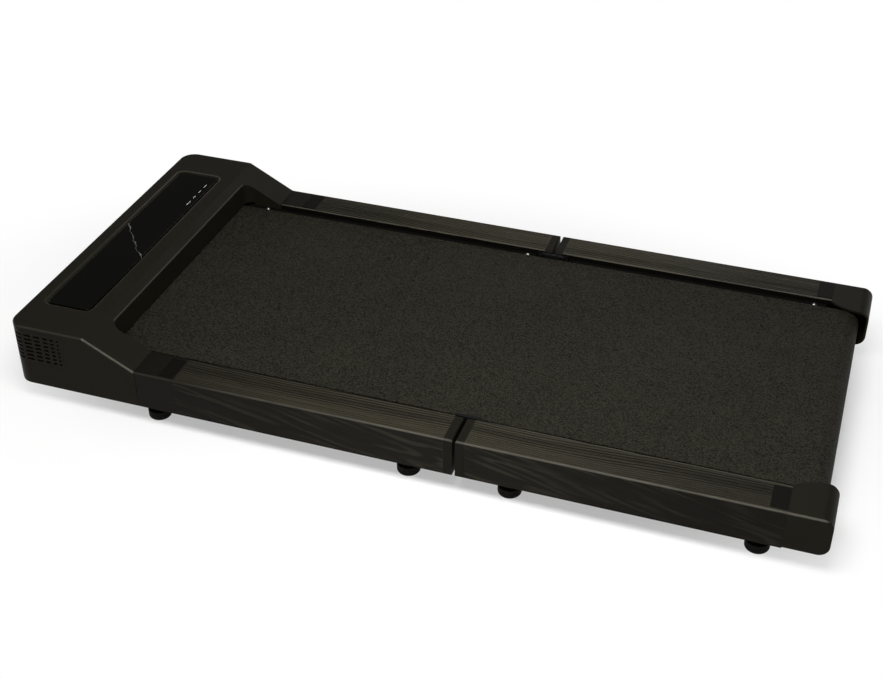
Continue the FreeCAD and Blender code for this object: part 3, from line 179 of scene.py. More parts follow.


# painted highlight: 1 on the rounded outer edge, which takes a paler colour standing in for the lamps'
# reflection there, and a lower roughness
def makeEdgeRub():
    # 1 on the rounded outer edge, where handling has polished it
    group, given, out = newGroup("edgeRub", [
        ("Vector", "NodeSocketVector", None), ("Half Width", "NodeSocketFloat", shell["halfWidth"]),
        ("Edge", "NodeSocketFloat", shell["edge"])], ["Rub"])
    spot = put(group, "ShaderNodeSeparateXYZ", {0: given["Vector"]}).outputs
    level = shellLevel(group, spot["X"])
    inside = calc(group, "SUBTRACT", given["Half Width"], calc(group, "ABSOLUTE", spot["Y"]))
    below = calc(group, "SUBTRACT", level, spot["Z"])
    reach = calc(group, "DIVIDE", calc(group, "MAXIMUM", inside, below), given["Edge"])
    patchy = put(group, "ShaderNodeTexNoise", {"Vector": given["Vector"], "Scale": shell["patchScale"],
                                               "Detail": 2.0}).outputs[0]
    # the painted highlight is strong on the slope and along the rails' length, faint over the head
    faint, crease, foot = shell["faint"], shell["crease"], shell["slopeFoot"]
    slope = calc(group, "MINIMUM", ramp(group, spot["X"], crease - shell["step"], crease, faint, 1.0),
                 ramp(group, spot["X"], foot, foot + shell["step"], 1.0, faint))
    highlightAlong = calc(group, "MAXIMUM", slope,
                ramp(group, spot["X"], shell["brightFrom"], shell["brightTo"], faint, 1.0))
    highlightMask = calc(group, "MULTIPLY", ramp(group, reach, shell["highlightCore"], shell["highlightEnd"], 1.0, 0.0),
               ramp(group, patchy, shell["patchLow"], shell["patchHigh"], shell["patchLeast"]))
    group.links.new(calc(group, "MULTIPLY", highlightMask, highlightAlong), out["Rub"])
    return group


# painted highlights on the rims of the belt's mouth and of the display's recess; core is the part of a rim's
# width at full highlight
rims = {"mouthX": -0.432, "mouthHalf": 0.205, "mouthFade": 0.004, "mouthEdge": 0.0022, "mouthShare": 0.3,
        "recess": 0.005, "recessCorner": 0.013, "recessEdge": 0.0016, "recessShare": 0.4, "nearShare": 0.3,
        "core": 0.3}


def makeRimRub():
    group, given, out = newGroup("rimRub", [("Vector", "NodeSocketVector", None)], ["Rub"])

    def away(value, middle):
        return calc(group, "ABSOLUTE", calc(group, "SUBTRACT", value, middle))

    def rimLine(distance, width):
        return ramp(group, distance, width * rims["core"], width, 1.0, 0.0)

    spot = put(group, "ShaderNodeSeparateXYZ", {0: given["Vector"]}).outputs
    across = calc(group, "ABSOLUTE", spot["Y"])
    gap = calc(group, "MAXIMUM", away(spot["X"], rims["mouthX"]),
               calc(group, "SUBTRACT", shellLevel(group, spot["X"]), spot["Z"]))
    mouthEnd = ramp(group, across, rims["mouthHalf"], rims["mouthHalf"] + rims["mouthFade"],
                    rims["mouthShare"], 0.0)
    mouth = calc(group, "MULTIPLY", rimLine(gap, rims["mouthEdge"]), mouthEnd)
    low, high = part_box("display_panel")
    corner = rims["recessCorner"]
    pastX = calc(group, "SUBTRACT", away(spot["X"], (low.x + high.x) / 2),
                 (high.x - low.x) / 2 + rims["recess"] - corner)
    pastY = calc(group, "SUBTRACT", across, high.y + rims["recess"] - corner)
    past = put(group, "ShaderNodeCombineXYZ", {"X": calc(group, "MAXIMUM", pastX, 0.0),
                                               "Y": calc(group, "MAXIMUM", pastY, 0.0)}).outputs[0]
    reach = put(group, "ShaderNodeVectorMath", {0: past}, operation="LENGTH").outputs["Value"]
    recess = calc(group, "MULTIPLY", rimLine(away(reach, corner), rims["recessEdge"]),
                  ramp(group, spot["Y"], -high.y / 2, high.y, rims["recessShare"] * rims["nearShare"],
                       rims["recessShare"]))
    group.links.new(calc(group, "MAXIMUM", mouth, recess), out["Rub"])
    return group


mouldedGrain = makeMouldedGrain()
pulledStreaks = makePulledStreaks()
specks = makeSpecks()
edgeRub = makeEdgeRub()
rimRub = makeRimRub()


def groupNode(tree, group, inputs):
    return put(tree, "ShaderNodeGroup", inputs, node_tree=group).outputs


def byMottle(tree, made, least, most):
    # a slow noise keeps to the middle of its range
    low, high = 0.3, 0.7
    return ramp(tree, made["Mottle"], low, high, least, most)


def newFinish(name, rough, specular, metallic=0.0):
    material = bpy.data.materials.new(name)
    material.use_nodes = True
    tree = material.node_tree
    shader = tree.nodes["Principled BSDF"]
    shader.inputs["Roughness"].default_value = rough
    shader.inputs["Specular IOR Level"].default_value = specular
    shader.inputs["Metallic"].default_value = metallic
    place = put(tree, "ShaderNodeTexCoord").outputs["Object"]
    return material, tree, shader, place


def bumpInto(tree, shader, height, distance):
    bump = put(tree, "ShaderNodeBump", {"Height": height, "Distance": distance, "Strength": 1.0})
    tree.links.new(bump.outputs[0], shader.inputs["Normal"])


def mouldedPlastic(name, dark, light, rough, specular, scale, depth, highlightTone=None, edges=()):
    material, tree, shader, place = newFinish(name, rough, specular)
    made = groupNode(tree, mouldedGrain, {"Vector": place, "Scale": scale})
    shade = mixColor(tree, made["Mottle"], dark, light)
    dull = byMottle(tree, made, rough - 0.05, rough + 0.05)
    # painted highlight: each edge group mixes a paler tone into the colour along its edge
    for edge in edges:
        highlightMask = groupNode(tree, edge, {"Vector": place})["Rub"]
        shade = mixColor(tree, highlightMask, shade, highlightTone)
        dull = calc(tree, "SUBTRACT", dull, calc(tree, "MULTIPLY", highlightMask, shell["polish"]))
    tree.links.new(shade, shader.inputs["Base Color"])
    tree.links.new(dull, shader.inputs["Roughness"])
    bumpInto(tree, shader, made["Grain"], depth)
    return material


def paintedSteel(name, dark, light, rough, scale, depth):
    # powder coat: orange peel with a few coarser beads
    material, tree, shader, place = newFinish(name, rough, 0.06)
    made = groupNode(tree, mouldedGrain, {"Vector": place, "Scale": scale, "Mottle Scale": 14.0})
    beads = groupNode(tree, specks, {"Vector": place, "Scale": scale * 0.5, "Share": 0.25})
    tree.links.new(mixColor(tree, made["Mottle"], dark, light), shader.inputs["Base Color"])
    dull = byMottle(tree, made, rough - 0.06, rough + 0.06)
    tree.links.new(dull, shader.inputs["Roughness"])
    bumpInto(tree, shader, calc(tree, "ADD", made["Grain"], beads["Speck"]), depth)
    return material


def bareMetal(name, dark, light, rough, stretch, depth):
    material, tree, shader, place = newFinish(name, rough, 0.5, 1.0)
    lines = groupNode(tree, pulledStreaks, {"Vector": place, "Stretch": stretch})["Streak"]
    made = groupNode(tree, mouldedGrain, {"Vector": place, "Scale": 700.0, "Mottle Scale": 40.0})
    tree.links.new(mixColor(tree, made["Mottle"], dark, light), shader.inputs["Base Color"])
    tree.links.new(ramp(tree, lines, 0.0, 1.0, rough - 0.08, rough + 0.1), shader.inputs["Roughness"])
    bumpInto(tree, shader, lines, depth)
    return material


def softRubber(name, dark, light, rough, scale, depth):
    dust = {"scale": 300.0, "share": 0.12, "cover": 0.35, "pale": tone(70, 68, 64)}
    material, tree, shader, place = newFinish(name, rough, 0.06)
    made = groupNode(tree, mouldedGrain, {"Vector": place, "Scale": scale, "Mottle Scale": 30.0})
    fluff = groupNode(tree, specks, {"Vector": place, "Scale": dust["scale"], "Share": dust["share"]})
    shade = mixColor(tree, made["Mottle"], dark, light)
    shade = mixColor(tree, calc(tree, "MULTIPLY", fluff["Speck"], dust["cover"]), shade, dust["pale"])
    tree.links.new(shade, shader.inputs["Base Color"])
    bumpInto(tree, shader, made["Grain"], depth)
    return material


def makeBeltFinish():
    # a gritty woven face: pale and dark grains over a dull ground
    look = {"dark": tone(11, 10, 8), "pale": tone(52, 50, 41), "glint": tone(86, 83, 72), "rough": 0.6,
            "grit": 640.0, "fineGrit": 1000.0, "gritShare": 0.6, "glintShare": 0.4, "mottle": 0.03,
            "depth": 0.0004}
    material, tree, shader, place = newFinish("gritBelt", look["rough"], 0.04)
    made = groupNode(tree, mouldedGrain, {"Vector": place, "Scale": 1100.0, "Mottle Scale": 6.0})
    shift = put(tree, "ShaderNodeVectorMath", {0: place, 1: (3.1, 1.7, 0.4)}, operation="ADD").outputs[0]
    coarse = groupNode(tree, specks, {"Vector": place, "Scale": look["grit"], "Share": 0.12})
    small = groupNode(tree, specks, {"Vector": shift, "Scale": look["fineGrit"], "Share": 0.3})
    drawn = calc(tree, "ADD", calc(tree, "MULTIPLY", coarse["Cell"], look["gritShare"]),
                 calc(tree, "MULTIPLY", small["Cell"], 1 - look["gritShare"]))
    drawn = calc(tree, "ADD", drawn, byMottle(tree, made, -look["mottle"], look["mottle"]))
    shade = mixColor(tree, ramp(tree, drawn, 0.12, 0.9), look["dark"], look["pale"])
    shade = mixColor(tree, calc(tree, "MULTIPLY", coarse["Speck"], look["glintShare"]), shade, look["glint"])
    tree.links.new(shade, shader.inputs["Base Color"])
    height = calc(tree, "ADD", calc(tree, "MULTIPLY", made["Grain"], 0.5), drawn)
    bumpInto(tree, shader, height, look["depth"])
    return material


def makeRailFinish():
    # the emboss leaves two attributes: "grain" for a groove's depth and "grained" for the textured face
    look = {"face": tone(41, 38, 30), "pale": tone(47, 44, 35), "smooth": tone(21, 19, 15),
            "sheenFace": tone(54, 51, 41), "sheenPale": tone(61, 57, 46), "sheenSmooth": tone(26, 24, 19),
            "sheenAt": 0.07, "sheenFrom": 0.08, "sheenTo": 0.38, "groove": tone(11, 10, 7),
            "highlightTone": tone(82, 79, 70), "wallShadeEdge": 0.0004, "innerRub": 0.0016, "innerFade": 0.0028,
            "innerShare": 0.75, "leftRubFrom": 0.06, "leftRubTo": 0.2, "leftShare": 0.8, "poreShare": 0.2,
            "rough": 0.4, "grooveRough": 0.6, "depth": 0.00012}
    material, tree, shader, place = newFinish("grainedRail", look["rough"], 0.045)
    spot = put(tree, "ShaderNodeSeparateXYZ", {0: place}).outputs
    # painted sheen: paler about the split, standing in for the lamps' soft reflection along the rails' middle
    fromSplit = calc(tree, "ABSOLUTE", calc(tree, "SUBTRACT", spot["X"], look["sheenAt"]))
    sheen = ramp(tree, fromSplit, look["sheenFrom"], look["sheenTo"], 1.0, 0.0)
    face = mixColor(tree, sheen, look["face"], look["sheenFace"])
    pale = mixColor(tree, sheen, look["pale"], look["sheenPale"])
    smooth = mixColor(tree, sheen, look["smooth"], look["sheenSmooth"])
    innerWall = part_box("right_front_rail_cover")[0].y
    across = calc(tree, "ABSOLUTE", spot["Y"])
    # painted shade: the rail's inner wall below its edge takes the dark groove colour
    wall = ramp(tree, across, innerWall + look["wallShadeEdge"] / 3, innerWall + look["wallShadeEdge"], 1.0, 0.0)
    # painted highlight on the inner edge too, all along on the right and towards the rear on the left
    inner = ramp(tree, across, innerWall + look["innerRub"], innerWall + look["innerFade"],
                 look["innerShare"], 0.0)
    leftReach = ramp(tree, spot["X"], look["leftRubFrom"], look["leftRubTo"], 0.0, look["leftShare"])
    onRight = calc(tree, "GREATER_THAN", spot["Y"], 0.0)
    inner = calc(tree, "MULTIPLY", inner, calc(tree, "MAXIMUM", leftReach, onRight))
    inner = calc(tree, "MULTIPLY", inner, calc(tree, "SUBTRACT", 1.0, wall))
    groove = put(tree, "ShaderNodeAttribute", attribute_name="grain").outputs["Fac"]
    grained = put(tree, "ShaderNodeAttribute", attribute_name="grained").outputs["Fac"]
    pores = groupNode(tree, pulledStreaks, {"Vector": place, "Stretch": (26.0, 1100.0, 900.0),
                                            "Low": 0.52, "High": 0.68})["Streak"]
    slow = groupNode(tree, mouldedGrain, {"Vector": place, "Scale": 1200.0, "Mottle Scale": 7.0})
    shade = mixColor(tree, slow["Mottle"], face, pale)
    shade = mixColor(tree, calc(tree, "MULTIPLY", pores, look["poreShare"]), shade, look["groove"])
    shade = mixColor(tree, grained, smooth, shade)
    # the groove colour goes into the grooves, and over the inner wall as painted shade
    shade = mixColor(tree, calc(tree, "MAXIMUM", groove, wall), shade, look["groove"])
    # painted highlights on the outer and inner edges, in one paler tone
    highlightMask = calc(tree, "MAXIMUM", groupNode(tree, edgeRub, {"Vector": place})["Rub"], inner)
    shade = mixColor(tree, highlightMask, shade, look["highlightTone"])
    tree.links.new(shade, shader.inputs["Base Color"])
    dull = ramp(tree, groove, 0.0, 1.0, look["rough"], look["grooveRough"])
    tree.links.new(dull, shader.inputs["Roughness"])
    pits = calc(tree, "MULTIPLY", pores, grained)
    height = calc(tree, "SUBTRACT", calc(tree, "MULTIPLY", slow["Grain"], 0.4), pits)
    bumpInto(tree, shader, height, look["depth"])
    return material


def makePanelFinish():
    # a clear hard face over black, a little wavy, with a pale vein across the middle
    vein = {"middle": (-0.51, -0.008), "slope": -1.25, "sway": 0.022, "half": 0.0006, "fade": 2.2,
            "pale": tone(128, 126, 119)}
    material, tree, shader, place = newFinish("glossPanel", 0.07, 0.12)
    wave = groupNode(tree, mouldedGrain, {"Vector": place, "Scale": 40.0, "Mottle Scale": 12.0})
    spot = put(tree, "ShaderNodeSeparateXYZ", {0: place}).outputs
    bends = put(tree, "ShaderNodeTexNoise", {"Vector": place, "Scale": 46.0, "Detail": 3.0}).outputs[0]
    along = calc(tree, "SUBTRACT", spot["X"], vein["middle"][0])
    line = calc(tree, "ADD", calc(tree, "MULTIPLY", along, vein["slope"]), vein["middle"][1])
    line = calc(tree, "ADD", line, calc(tree, "MULTIPLY", calc(tree, "SUBTRACT", bends, 0.5), vein["sway"]))
    off = calc(tree, "ABSOLUTE", calc(tree, "SUBTRACT", spot["Y"], line))
    thin = ramp(tree, bends, 0.35, 0.62, 0.2, 1.0)
    mark = calc(tree, "MULTIPLY", ramp(tree, off, vein["half"], vein["half"] * vein["fade"], 1.0, 0.0), thin)
    ground = mixColor(tree, wave["Mottle"], tone(5, 5, 3), tone(8, 8, 6))
    tree.links.new(mixColor(tree, mark, ground, vein["pale"]), shader.inputs["Base Color"])
    tree.links.new(byMottle(tree, wave, 0.05, 0.1), shader.inputs["Roughness"])
    bumpInto(tree, shader, wave["Mottle"], 0.0002)
    return material


def makeDeckFinish():
    # faced board: dark film over fibres that show as short streaks
    material, tree, shader, place = newFinish("deckBoard", 0.6, 0.12)
    fibre = groupNode(tree, pulledStreaks, {"Vector": place, "Stretch": (60.0, 240.0, 700.0)})["Streak"]
    made = groupNode(tree, mouldedGrain, {"Vector": place, "Scale": 500.0})
    tree.links.new(mixColor(tree, fibre, tone(7, 7, 6), tone(12, 11, 10)), shader.inputs["Base Color"])
    bumpInto(tree, shader, calc(tree, "ADD", made["Grain"], fibre), 0.0002)
    return material


def makeBoardFinish():
    # lacquered circuit board with tracks under the lacquer
    material, tree, shader, place = newFinish("circuitBoard", 0.35, 0.5)
    tracks = put(tree, "ShaderNodeTexBrick", {"Vector": place, "Scale": 60.0, "Mortar Size": 0.03,
                                              "Color1": tone(12, 66, 38), "Color2": tone(16, 78, 44),
                                              "Mortar": tone(60, 120, 70)})
    tree.links.new(tracks.outputs["Color"], shader.inputs["Base Color"])
    bumpInto(tree, shader, tracks.outputs["Fac"], 0.0002)
    return material


finishes = {
    # the paler tones passed to the head and smooth plastics are their edges' painted highlights
    "head_plastic": mouldedPlastic("headPlastic", tone(25, 23, 17), tone(29, 27, 20), 0.42, 0.03, 1100.0,
                                   0.00006, tone(92, 88, 80), [edgeRub, rimRub]),
    "grained_plastic": makeRailFinish(),
    "smooth_plastic": mouldedPlastic("smoothPlastic", tone(24, 22, 17), tone(28, 26, 20), 0.42, 0.03, 1500.0,
                                     0.00005, tone(75, 72, 65), [edgeRub]),
    "gloss_panel": makePanelFinish(),
    "belt": makeBeltFinish(),
    "drive_rubber": softRubber("driveRubber", tone(22, 22, 22), tone(30, 30, 30), 0.6, 900.0, 0.0002),
    "foot_rubber": softRubber("footRubber", tone(11, 10, 8), tone(15, 14, 12), 0.7, 600.0, 0.0003),
    "wheel_plastic": mouldedPlastic("wheelPlastic", tone(38, 38, 37), tone(46, 46, 44), 0.4, 0.4, 800.0,
                                    0.0001),
    "frame_paint": paintedSteel("framePaint", tone(15, 15, 15), tone(20, 20, 20), 0.48, 700.0, 0.0002),
    "zinc_steel": bareMetal("zincSteel", tone(122, 123, 124), tone(150, 150, 148), 0.42,
                            (90.0, 900.0, 900.0), 0.00005),
    "black_steel": paintedSteel("blackSteel", tone(11, 10, 8), tone(15, 14, 11), 0.4, 900.0, 0.00008),
    "roller_steel": bareMetal("rollerSteel", tone(160, 161, 163), tone(186, 186, 186), 0.32,
                              (600.0, 20.0, 600.0), 0.00005),
    "cast_alloy": bareMetal("castAlloy", tone(182, 183, 186), tone(204, 204, 206), 0.42,
                            (300.0, 300.0, 300.0), 0.0001),
    "motor_paint": paintedSteel("motorPaint", tone(34, 35, 37), tone(42, 43, 45), 0.4, 500.0, 0.0002),
    "deck_wood": makeDeckFinish(),
    "circuit_board": makeBoardFinish(),
    "fitting_plastic": mouldedPlastic("fittingPlastic", tone(20, 20, 20), tone(26, 26, 26), 0.3, 0.45, 1300.0,
                                      0.00008),
}
coverPlastic = mouldedPlastic("coverPlastic", tone(13, 12, 9), tone(16, 15, 12), 0.45, 0.03, 1500.0, 0.0001)
slotOf = {row["node"]: row["material_slot"] for row in frame["record"]["subparts"]}
for name, obj in cadNodes.items():
    obj.data.materials.clear()
    obj.data.materials.append(coverPlastic if name.endswith("screw_covers") else finishes[slotOf[name]])
print("finishes:", len(finishes))


# geometry node trees, run once and kept as plain meshes
def newTree(name, floats, vectors=(), counts=()):
    # every tree also takes a mesh and a finish
    tree = bpy.data.node_groups.new(name, "GeometryNodeTree")
    tree.interface.new_socket("Geometry", in_out="OUTPUT", socket_type="NodeSocketGeometry")
    for kind, labels in (("Geometry", ["Geometry"]), ("Float", floats), ("Vector", vectors), ("Int", counts),
                         ("Material", ["Finish"])):
        for label in labels:
            tree.interface.new_socket(label, in_out="INPUT", socket_type=f"NodeSocket{kind}")
    return tree, put(tree, "NodeGroupInput").outputs, put(tree, "NodeGroupOutput").inputs


def closeTree(tree, given, out, geometry):
    real = put(tree, "GeometryNodeRealizeInstances", {0: geometry}).outputs[0]
    done = put(tree, "GeometryNodeSetMaterial", {"Geometry": real, "Material": given["Finish"]}).outputs[0]
    tree.links.new(done, out["Geometry"])
    return tree


def runTree(obj, tree, values):
    modifier = obj.modifiers.new(tree.name, "NODES")
    modifier.node_group = tree
    for item in tree.interface.items_tree:
        if item.in_out == "INPUT" and item.name in values:
            modifier[item.identifier] = values[item.name]
    depsgraph = bpy.context.evaluated_depsgraph_get()
    mesh = bpy.data.meshes.new_from_object(obj.evaluated_get(depsgraph), depsgraph=depsgraph)
    obj.modifiers.remove(modifier)
    obj.data = mesh
    return obj


mergeDistance = 1e-6


def newPiece(name, data):
    obj = bpy.data.objects.new(name, data)
    scene.collection.objects.link(obj)
    return obj


def keepForm(name, form):
    mesh = bpy.data.meshes.new(name)
    form.to_mesh(mesh)
    form.free()
    return newPiece(name, mesh)


def loft(form, rings):
    # skin over a row of closed rings, capped at both ends
    count = len(rings[0])
    for first, second in zip(rings, rings[1:]):
        for index in range(count):
            following = (index + 1) % count
            form.faces.new((first[index], first[following], second[following], second[index]))
    form.faces.new(rings[0])
    form.faces.new(list(reversed(rings[-1])))


def fixPiece(obj, body, replaced):
    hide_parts(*replaced)
    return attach(obj, body)


# side rails with embossed grain
rails = {"wall": 0.003, "edge": 0.003, "innerEdge": 0.0012, "skirt": 0.008, "arcSteps": 6,
         "sideStep": 0.0008, "topStep": 0.00055, "alongStep": 0.0035, "seatMargin": 0.00015,
         "seatSink": 0.0012, "window": 0.0102, "wallLip": 0.00002, "fade": 0.004, "swirls": 40.0,
         "lineShare": {"left": 0.9, "right": 0.7},
         "seed": {"left_front": 7.0, "right_front": 21.0, "left_rear": 4.0, "right_rear": 18.0},
         "emboss": {"Depth": 0.0005, "Side Depth": 0.0003, "Side Height": 0.057, "Pitch": 0.005,
                    "Fine Pitch": 0.0042, "Zone Start": 0.022, "Zone End": 0.03, "Zone Drift": 0.035,
                    "Drift": 11.0, "Side Slope": 0.2, "Side Shade": 0.5, "Side Pore": 0.35}}


def spread(first, last, step):
    count = max(1, round(abs(last - first) / step))
    return [first + (last - first) * index / count for index in range(count + 1)]


def railSection(width, low, high):
    # from the outer bottom edge up, over the top and back inside: y, z, share of grain, 1 on the top
    wall, edge, innerEdge = rails["wall"], rails["edge"], rails["innerEdge"]
    points = []
    for z in spread(low, high - edge, rails["sideStep"]):
        points.append((0.0, z, min(1.0, (z - low) / rails["fade"]), 0.0))
    for step in range(1, rails["arcSteps"]):
        angle = math.pi / 2 * step / rails["arcSteps"]
        points.append((edge - edge * math.cos(angle), high - edge + edge * math.sin(angle), 0.0, 0.0))
    for y in spread(edge, width - innerEdge, rails["topStep"]):
        points.append((y, high, 1.0, 1.0))
    for step in range(1, rails["arcSteps"] + 1):
        angle = math.pi / 2 * step / rails["arcSteps"]
        share = 1.0 if step < rails["arcSteps"] else 0.0
        points.append((width - innerEdge + innerEdge * math.sin(angle),
                       high - innerEdge + innerEdge * math.cos(angle), share, 1.0))
    inner = high - wall
    points += [(width, high - rails["skirt"], 0.0, 0.0), (width - wall, high - rails["skirt"], 0.0, 0.0),
               (width - wall, inner, 0.0, 0.0), (wall, inner, 0.0, 0.0), (wall, low, 0.0, 0.0)]
    return points


def buildRail(name, node, side, windowAtEnd, seat):
    (x0, y0, z0), (x1, y1, z1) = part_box(node)
    width = y1 - y0
    section = railSection(width, z0, z1)
    cut = x1 - rails["window"] if windowAtEnd else x0 + rails["window"]
    lip = rails["wallLip"]
    stations = set(spread(x0, x1, rails["alongStep"]))
    for edge in (seat[0], seat[1], cut):
        stations |= {edge - lip, edge + lip}
    stations = sorted(x for x in stations if x0 - mergeDistance <= x <= x1 + mergeDistance)
    margin = seat[2]
    form = bmesh.new()
    flat = form.verts.layers.float.new("flat")
    top = form.verts.layers.float.new("onTop")
    across = form.verts.layers.float.new("across")
    outerY = y0 if side < 0 else y1
    rings = []
    for x in stations:
        opened = x > cut if windowAtEnd else x < cut
        ring, run, last = [], 0.0, None
        for y, z, share, onTop in section:
            if last is not None:
                run += math.hypot(y - last[0], z - last[1])
            last = (y, z)
            seated = seat[0] < x < seat[1] and margin < y < width - margin and onTop > 0
            level = z - rails["seatSink"] if seated else z
            if opened and z < z1 - rails["wall"] and y > width / 2:
                level = z1 - rails["wall"]
            vert = form.verts.new((x, outerY - side * y, level))
            vert[flat] = 0.0 if seated else share
            vert[top] = onTop
            vert[across] = run
            ring.append(vert)
        rings.append(ring)
    loft(form, rings)
    bmesh.ops.remove_doubles(form, verts=form.verts, dist=mergeDistance)
    bmesh.ops.dissolve_degenerate(form, edges=form.edges, dist=mergeDistance)
    bmesh.ops.recalc_face_normals(form, faces=form.faces)
    return keepForm(name, form)


def makeRailTree():
    tree, given, out = newTree("railEmboss", [*rails["emboss"], "Line Share", "Grain Start", "Seed"])

    def read(name):
        node = put(tree, "GeometryNodeInputNamedAttribute", {"Name": name}, data_type="FLOAT")
        return node.outputs["Attribute"]

    def pick(onSide, onTop):
        return put(tree, "ShaderNodeMix", {"Factor": top, 2: onSide, 3: onTop}).outputs[0]

    def noise(alongScale, acrossScale, shift, detail, row=None):
        row = across if row is None else row
        spot = put(tree, "ShaderNodeCombineXYZ", {"X": calc(tree, "MULTIPLY", x, alongScale),
                                                  "Y": calc(tree, "MULTIPLY", row, acrossScale),
                                                  "Z": calc(tree, "ADD", given["Seed"], shift)}).outputs[0]
        return put(tree, "ShaderNodeTexNoise", {"Vector": spot, "Scale": 1.0, "Detail": detail}).outputs[0]

    place = put(tree, "GeometryNodeInputPosition").outputs[0]
    x = put(tree, "ShaderNodeSeparateXYZ", {0: place}).outputs["X"]
    across, flat, top = read("across"), read("flat"), read("onTop")
    # strong lines near the belt, running out over the edge as on a sawn board, and fading in and out
    wander = noise(3.0, 18.0, 0.0, 1.0)
    drift = calc(tree, "SUBTRACT", 0.5, noise(2.2, 3.0, 12.0, 1.0))

    def lines(pitch, sway, low, high):
        phase = calc(tree, "ADD", calc(tree, "DIVIDE", across, pitch), calc(tree, "MULTIPLY", wander, sway))
        phase = calc(tree, "ADD", phase, calc(tree, "MULTIPLY", drift, given["Drift"]))
        return ramp(tree, calc(tree, "SINE", calc(tree, "MULTIPLY", phase, 2 * math.pi)), low, high)

    strong = calc(tree, "MULTIPLY", lines(given["Pitch"], 1.0, 0.0, 0.8),
                  ramp(tree, noise(4.0, 120.0, 3.0, 1.0), 0.2, 0.42))
    topPlace = calc(tree, "SUBTRACT", across, given["Side Height"])
    topPlace = calc(tree, "ADD", topPlace, calc(tree, "MULTIPLY", drift, given["Zone Drift"]))
    zone = ramp(tree, topPlace, given["Zone Start"], given["Zone End"])
    fine = ramp(tree, noise(22.0, 620.0, 5.0, 2.0), 0.54, 0.66)
    weak = calc(tree, "MULTIPLY", lines(given["Fine Pitch"], 1.2, -0.2, 0.7),
                ramp(tree, noise(5.0, 150.0, 9.0, 1.0), 0.25, 0.5))
    outer = calc(tree, "MAXIMUM", calc(tree, "MULTIPLY", fine, 0.25), calc(tree, "MULTIPLY", weak, 0.75))
    topGroove = calc(tree, "MAXIMUM", calc(tree, "MULTIPLY", strong, zone), outer)
    topGroove = calc(tree, "MULTIPLY", topGroove, given["Line Share"])
    # swirls on the side are contour lines of a slow noise, standing a little proud and paler;
    # they lean down towards the rear
    leaning = calc(tree, "ADD", across, calc(tree, "MULTIPLY", x, given["Side Slope"]))
    swell = noise(4.5, 44.0, 7.0, 1.5, leaning)
    swirl = ramp(tree, calc(tree, "SINE", calc(tree, "MULTIPLY", swell, rails["swirls"])), -0.3, 1.0)
    swirl = calc(tree, "MULTIPLY", swirl, ramp(tree, noise(9.0, 60.0, 8.0, 1.0, leaning), 0.35, 0.65))
    sideGroove = calc(tree, "SUBTRACT", 1.0, swirl)
    grainFull = calc(tree, "ADD", given["Grain Start"], rails["fade"])
    started = calc(tree, "MULTIPLY", flat, ramp(tree, x, given["Grain Start"], grainFull))
    groove = calc(tree, "MULTIPLY", pick(sideGroove, topGroove), started)
    inward = calc(tree, "MULTIPLY", calc(tree, "MULTIPLY", groove, pick(given["Side Depth"], given["Depth"])),
                  -1.0)
    normal = put(tree, "GeometryNodeInputNormal").outputs[0]
    push = put(tree, "ShaderNodeVectorMath", {0: normal, "Scale": inward}, operation="SCALE").outputs[0]
    pore = pick(calc(tree, "MULTIPLY", fine, given["Side Pore"]), topGroove)
    paler = pick(calc(tree, "MULTIPLY", swirl, given["Side Shade"]), 1.0)
    kept = given["Geometry"]
    for label, value in (("grain", calc(tree, "MULTIPLY", pore, started)),
                         ("grained", calc(tree, "MULTIPLY", paler, started))):
        kept = put(tree, "GeometryNodeStoreNamedAttribute", {"Geometry": kept, "Name": label, "Value": value},
                   data_type="FLOAT", domain="POINT").outputs[0]
    moved = put(tree, "GeometryNodeSetPosition", {"Geometry": kept, "Offset": push})
    return closeTree(tree, given, out, moved.outputs[0])


railTree = makeRailTree()
for half, body, windowAtEnd in (("front", "front_frame", True), ("rear", "rear_frame", False)):
    for side, sideName in ((-1, "left"), (1, "right")):
        node = f"{sideName}_{half}_rail_cover"
        coverLow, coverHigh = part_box(f"{half}_screw_covers")
        seat = (coverLow.x - rails["seatMargin"], coverHigh.x + rails["seatMargin"],
                cadBounds[1][1] - coverHigh.y - rails["seatMargin"])
        rail = buildRail(f"{sideName}{half.title()}Rail", node, side, windowAtEnd, seat)
        # the rear pair is grained from its very end, the front pair from its screw cover
        grainStart = seat[1] if half == "front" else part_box(node)[0].x - 2 * rails["fade"]
        runTree(rail, railTree, {
            **rails["emboss"], "Line Share": rails["lineShare"][sideName], "Grain Start": grainStart,
            "Seed": rails["seed"][f"{sideName}_{half}"], "Finish": finishes["grained_plastic"]})
        fixPiece(rail, body, [node])
print("rails done")


# walking belt, in two lengths that meet on the hinge links
belt = {"thickness": 0.0018, "chamfer": 0.0004, "runStep": 0.02, "bendStep": 0.002, "bendReach": 0.032,
        "arcSteps": 24, "joint": 0.087, "blendReach": 0.028, "sharpAngle": 40}


def beltRun(centreX, joint, low, high, way):
    # from the joint along the top, round the roller and back underneath
    radius = (high - low) / 2
    middle = (high + low) / 2
    bend = joint + way * belt["bendReach"]
    xs = spread(joint, bend, belt["bendStep"]) + spread(bend, centreX, belt["runStep"])[1:]
    path = [(x, high, (0.0, 1.0)) for x in xs]
    for step in range(1, belt["arcSteps"]):
        angle = math.pi / 2 - math.pi * step / belt["arcSteps"]
        normal = (way * math.cos(angle), math.sin(angle))
        path.append((centreX + radius * normal[0], middle + radius * normal[1], normal))
    return path + [(x, low, (0.0, -1.0)) for x in reversed(xs)]


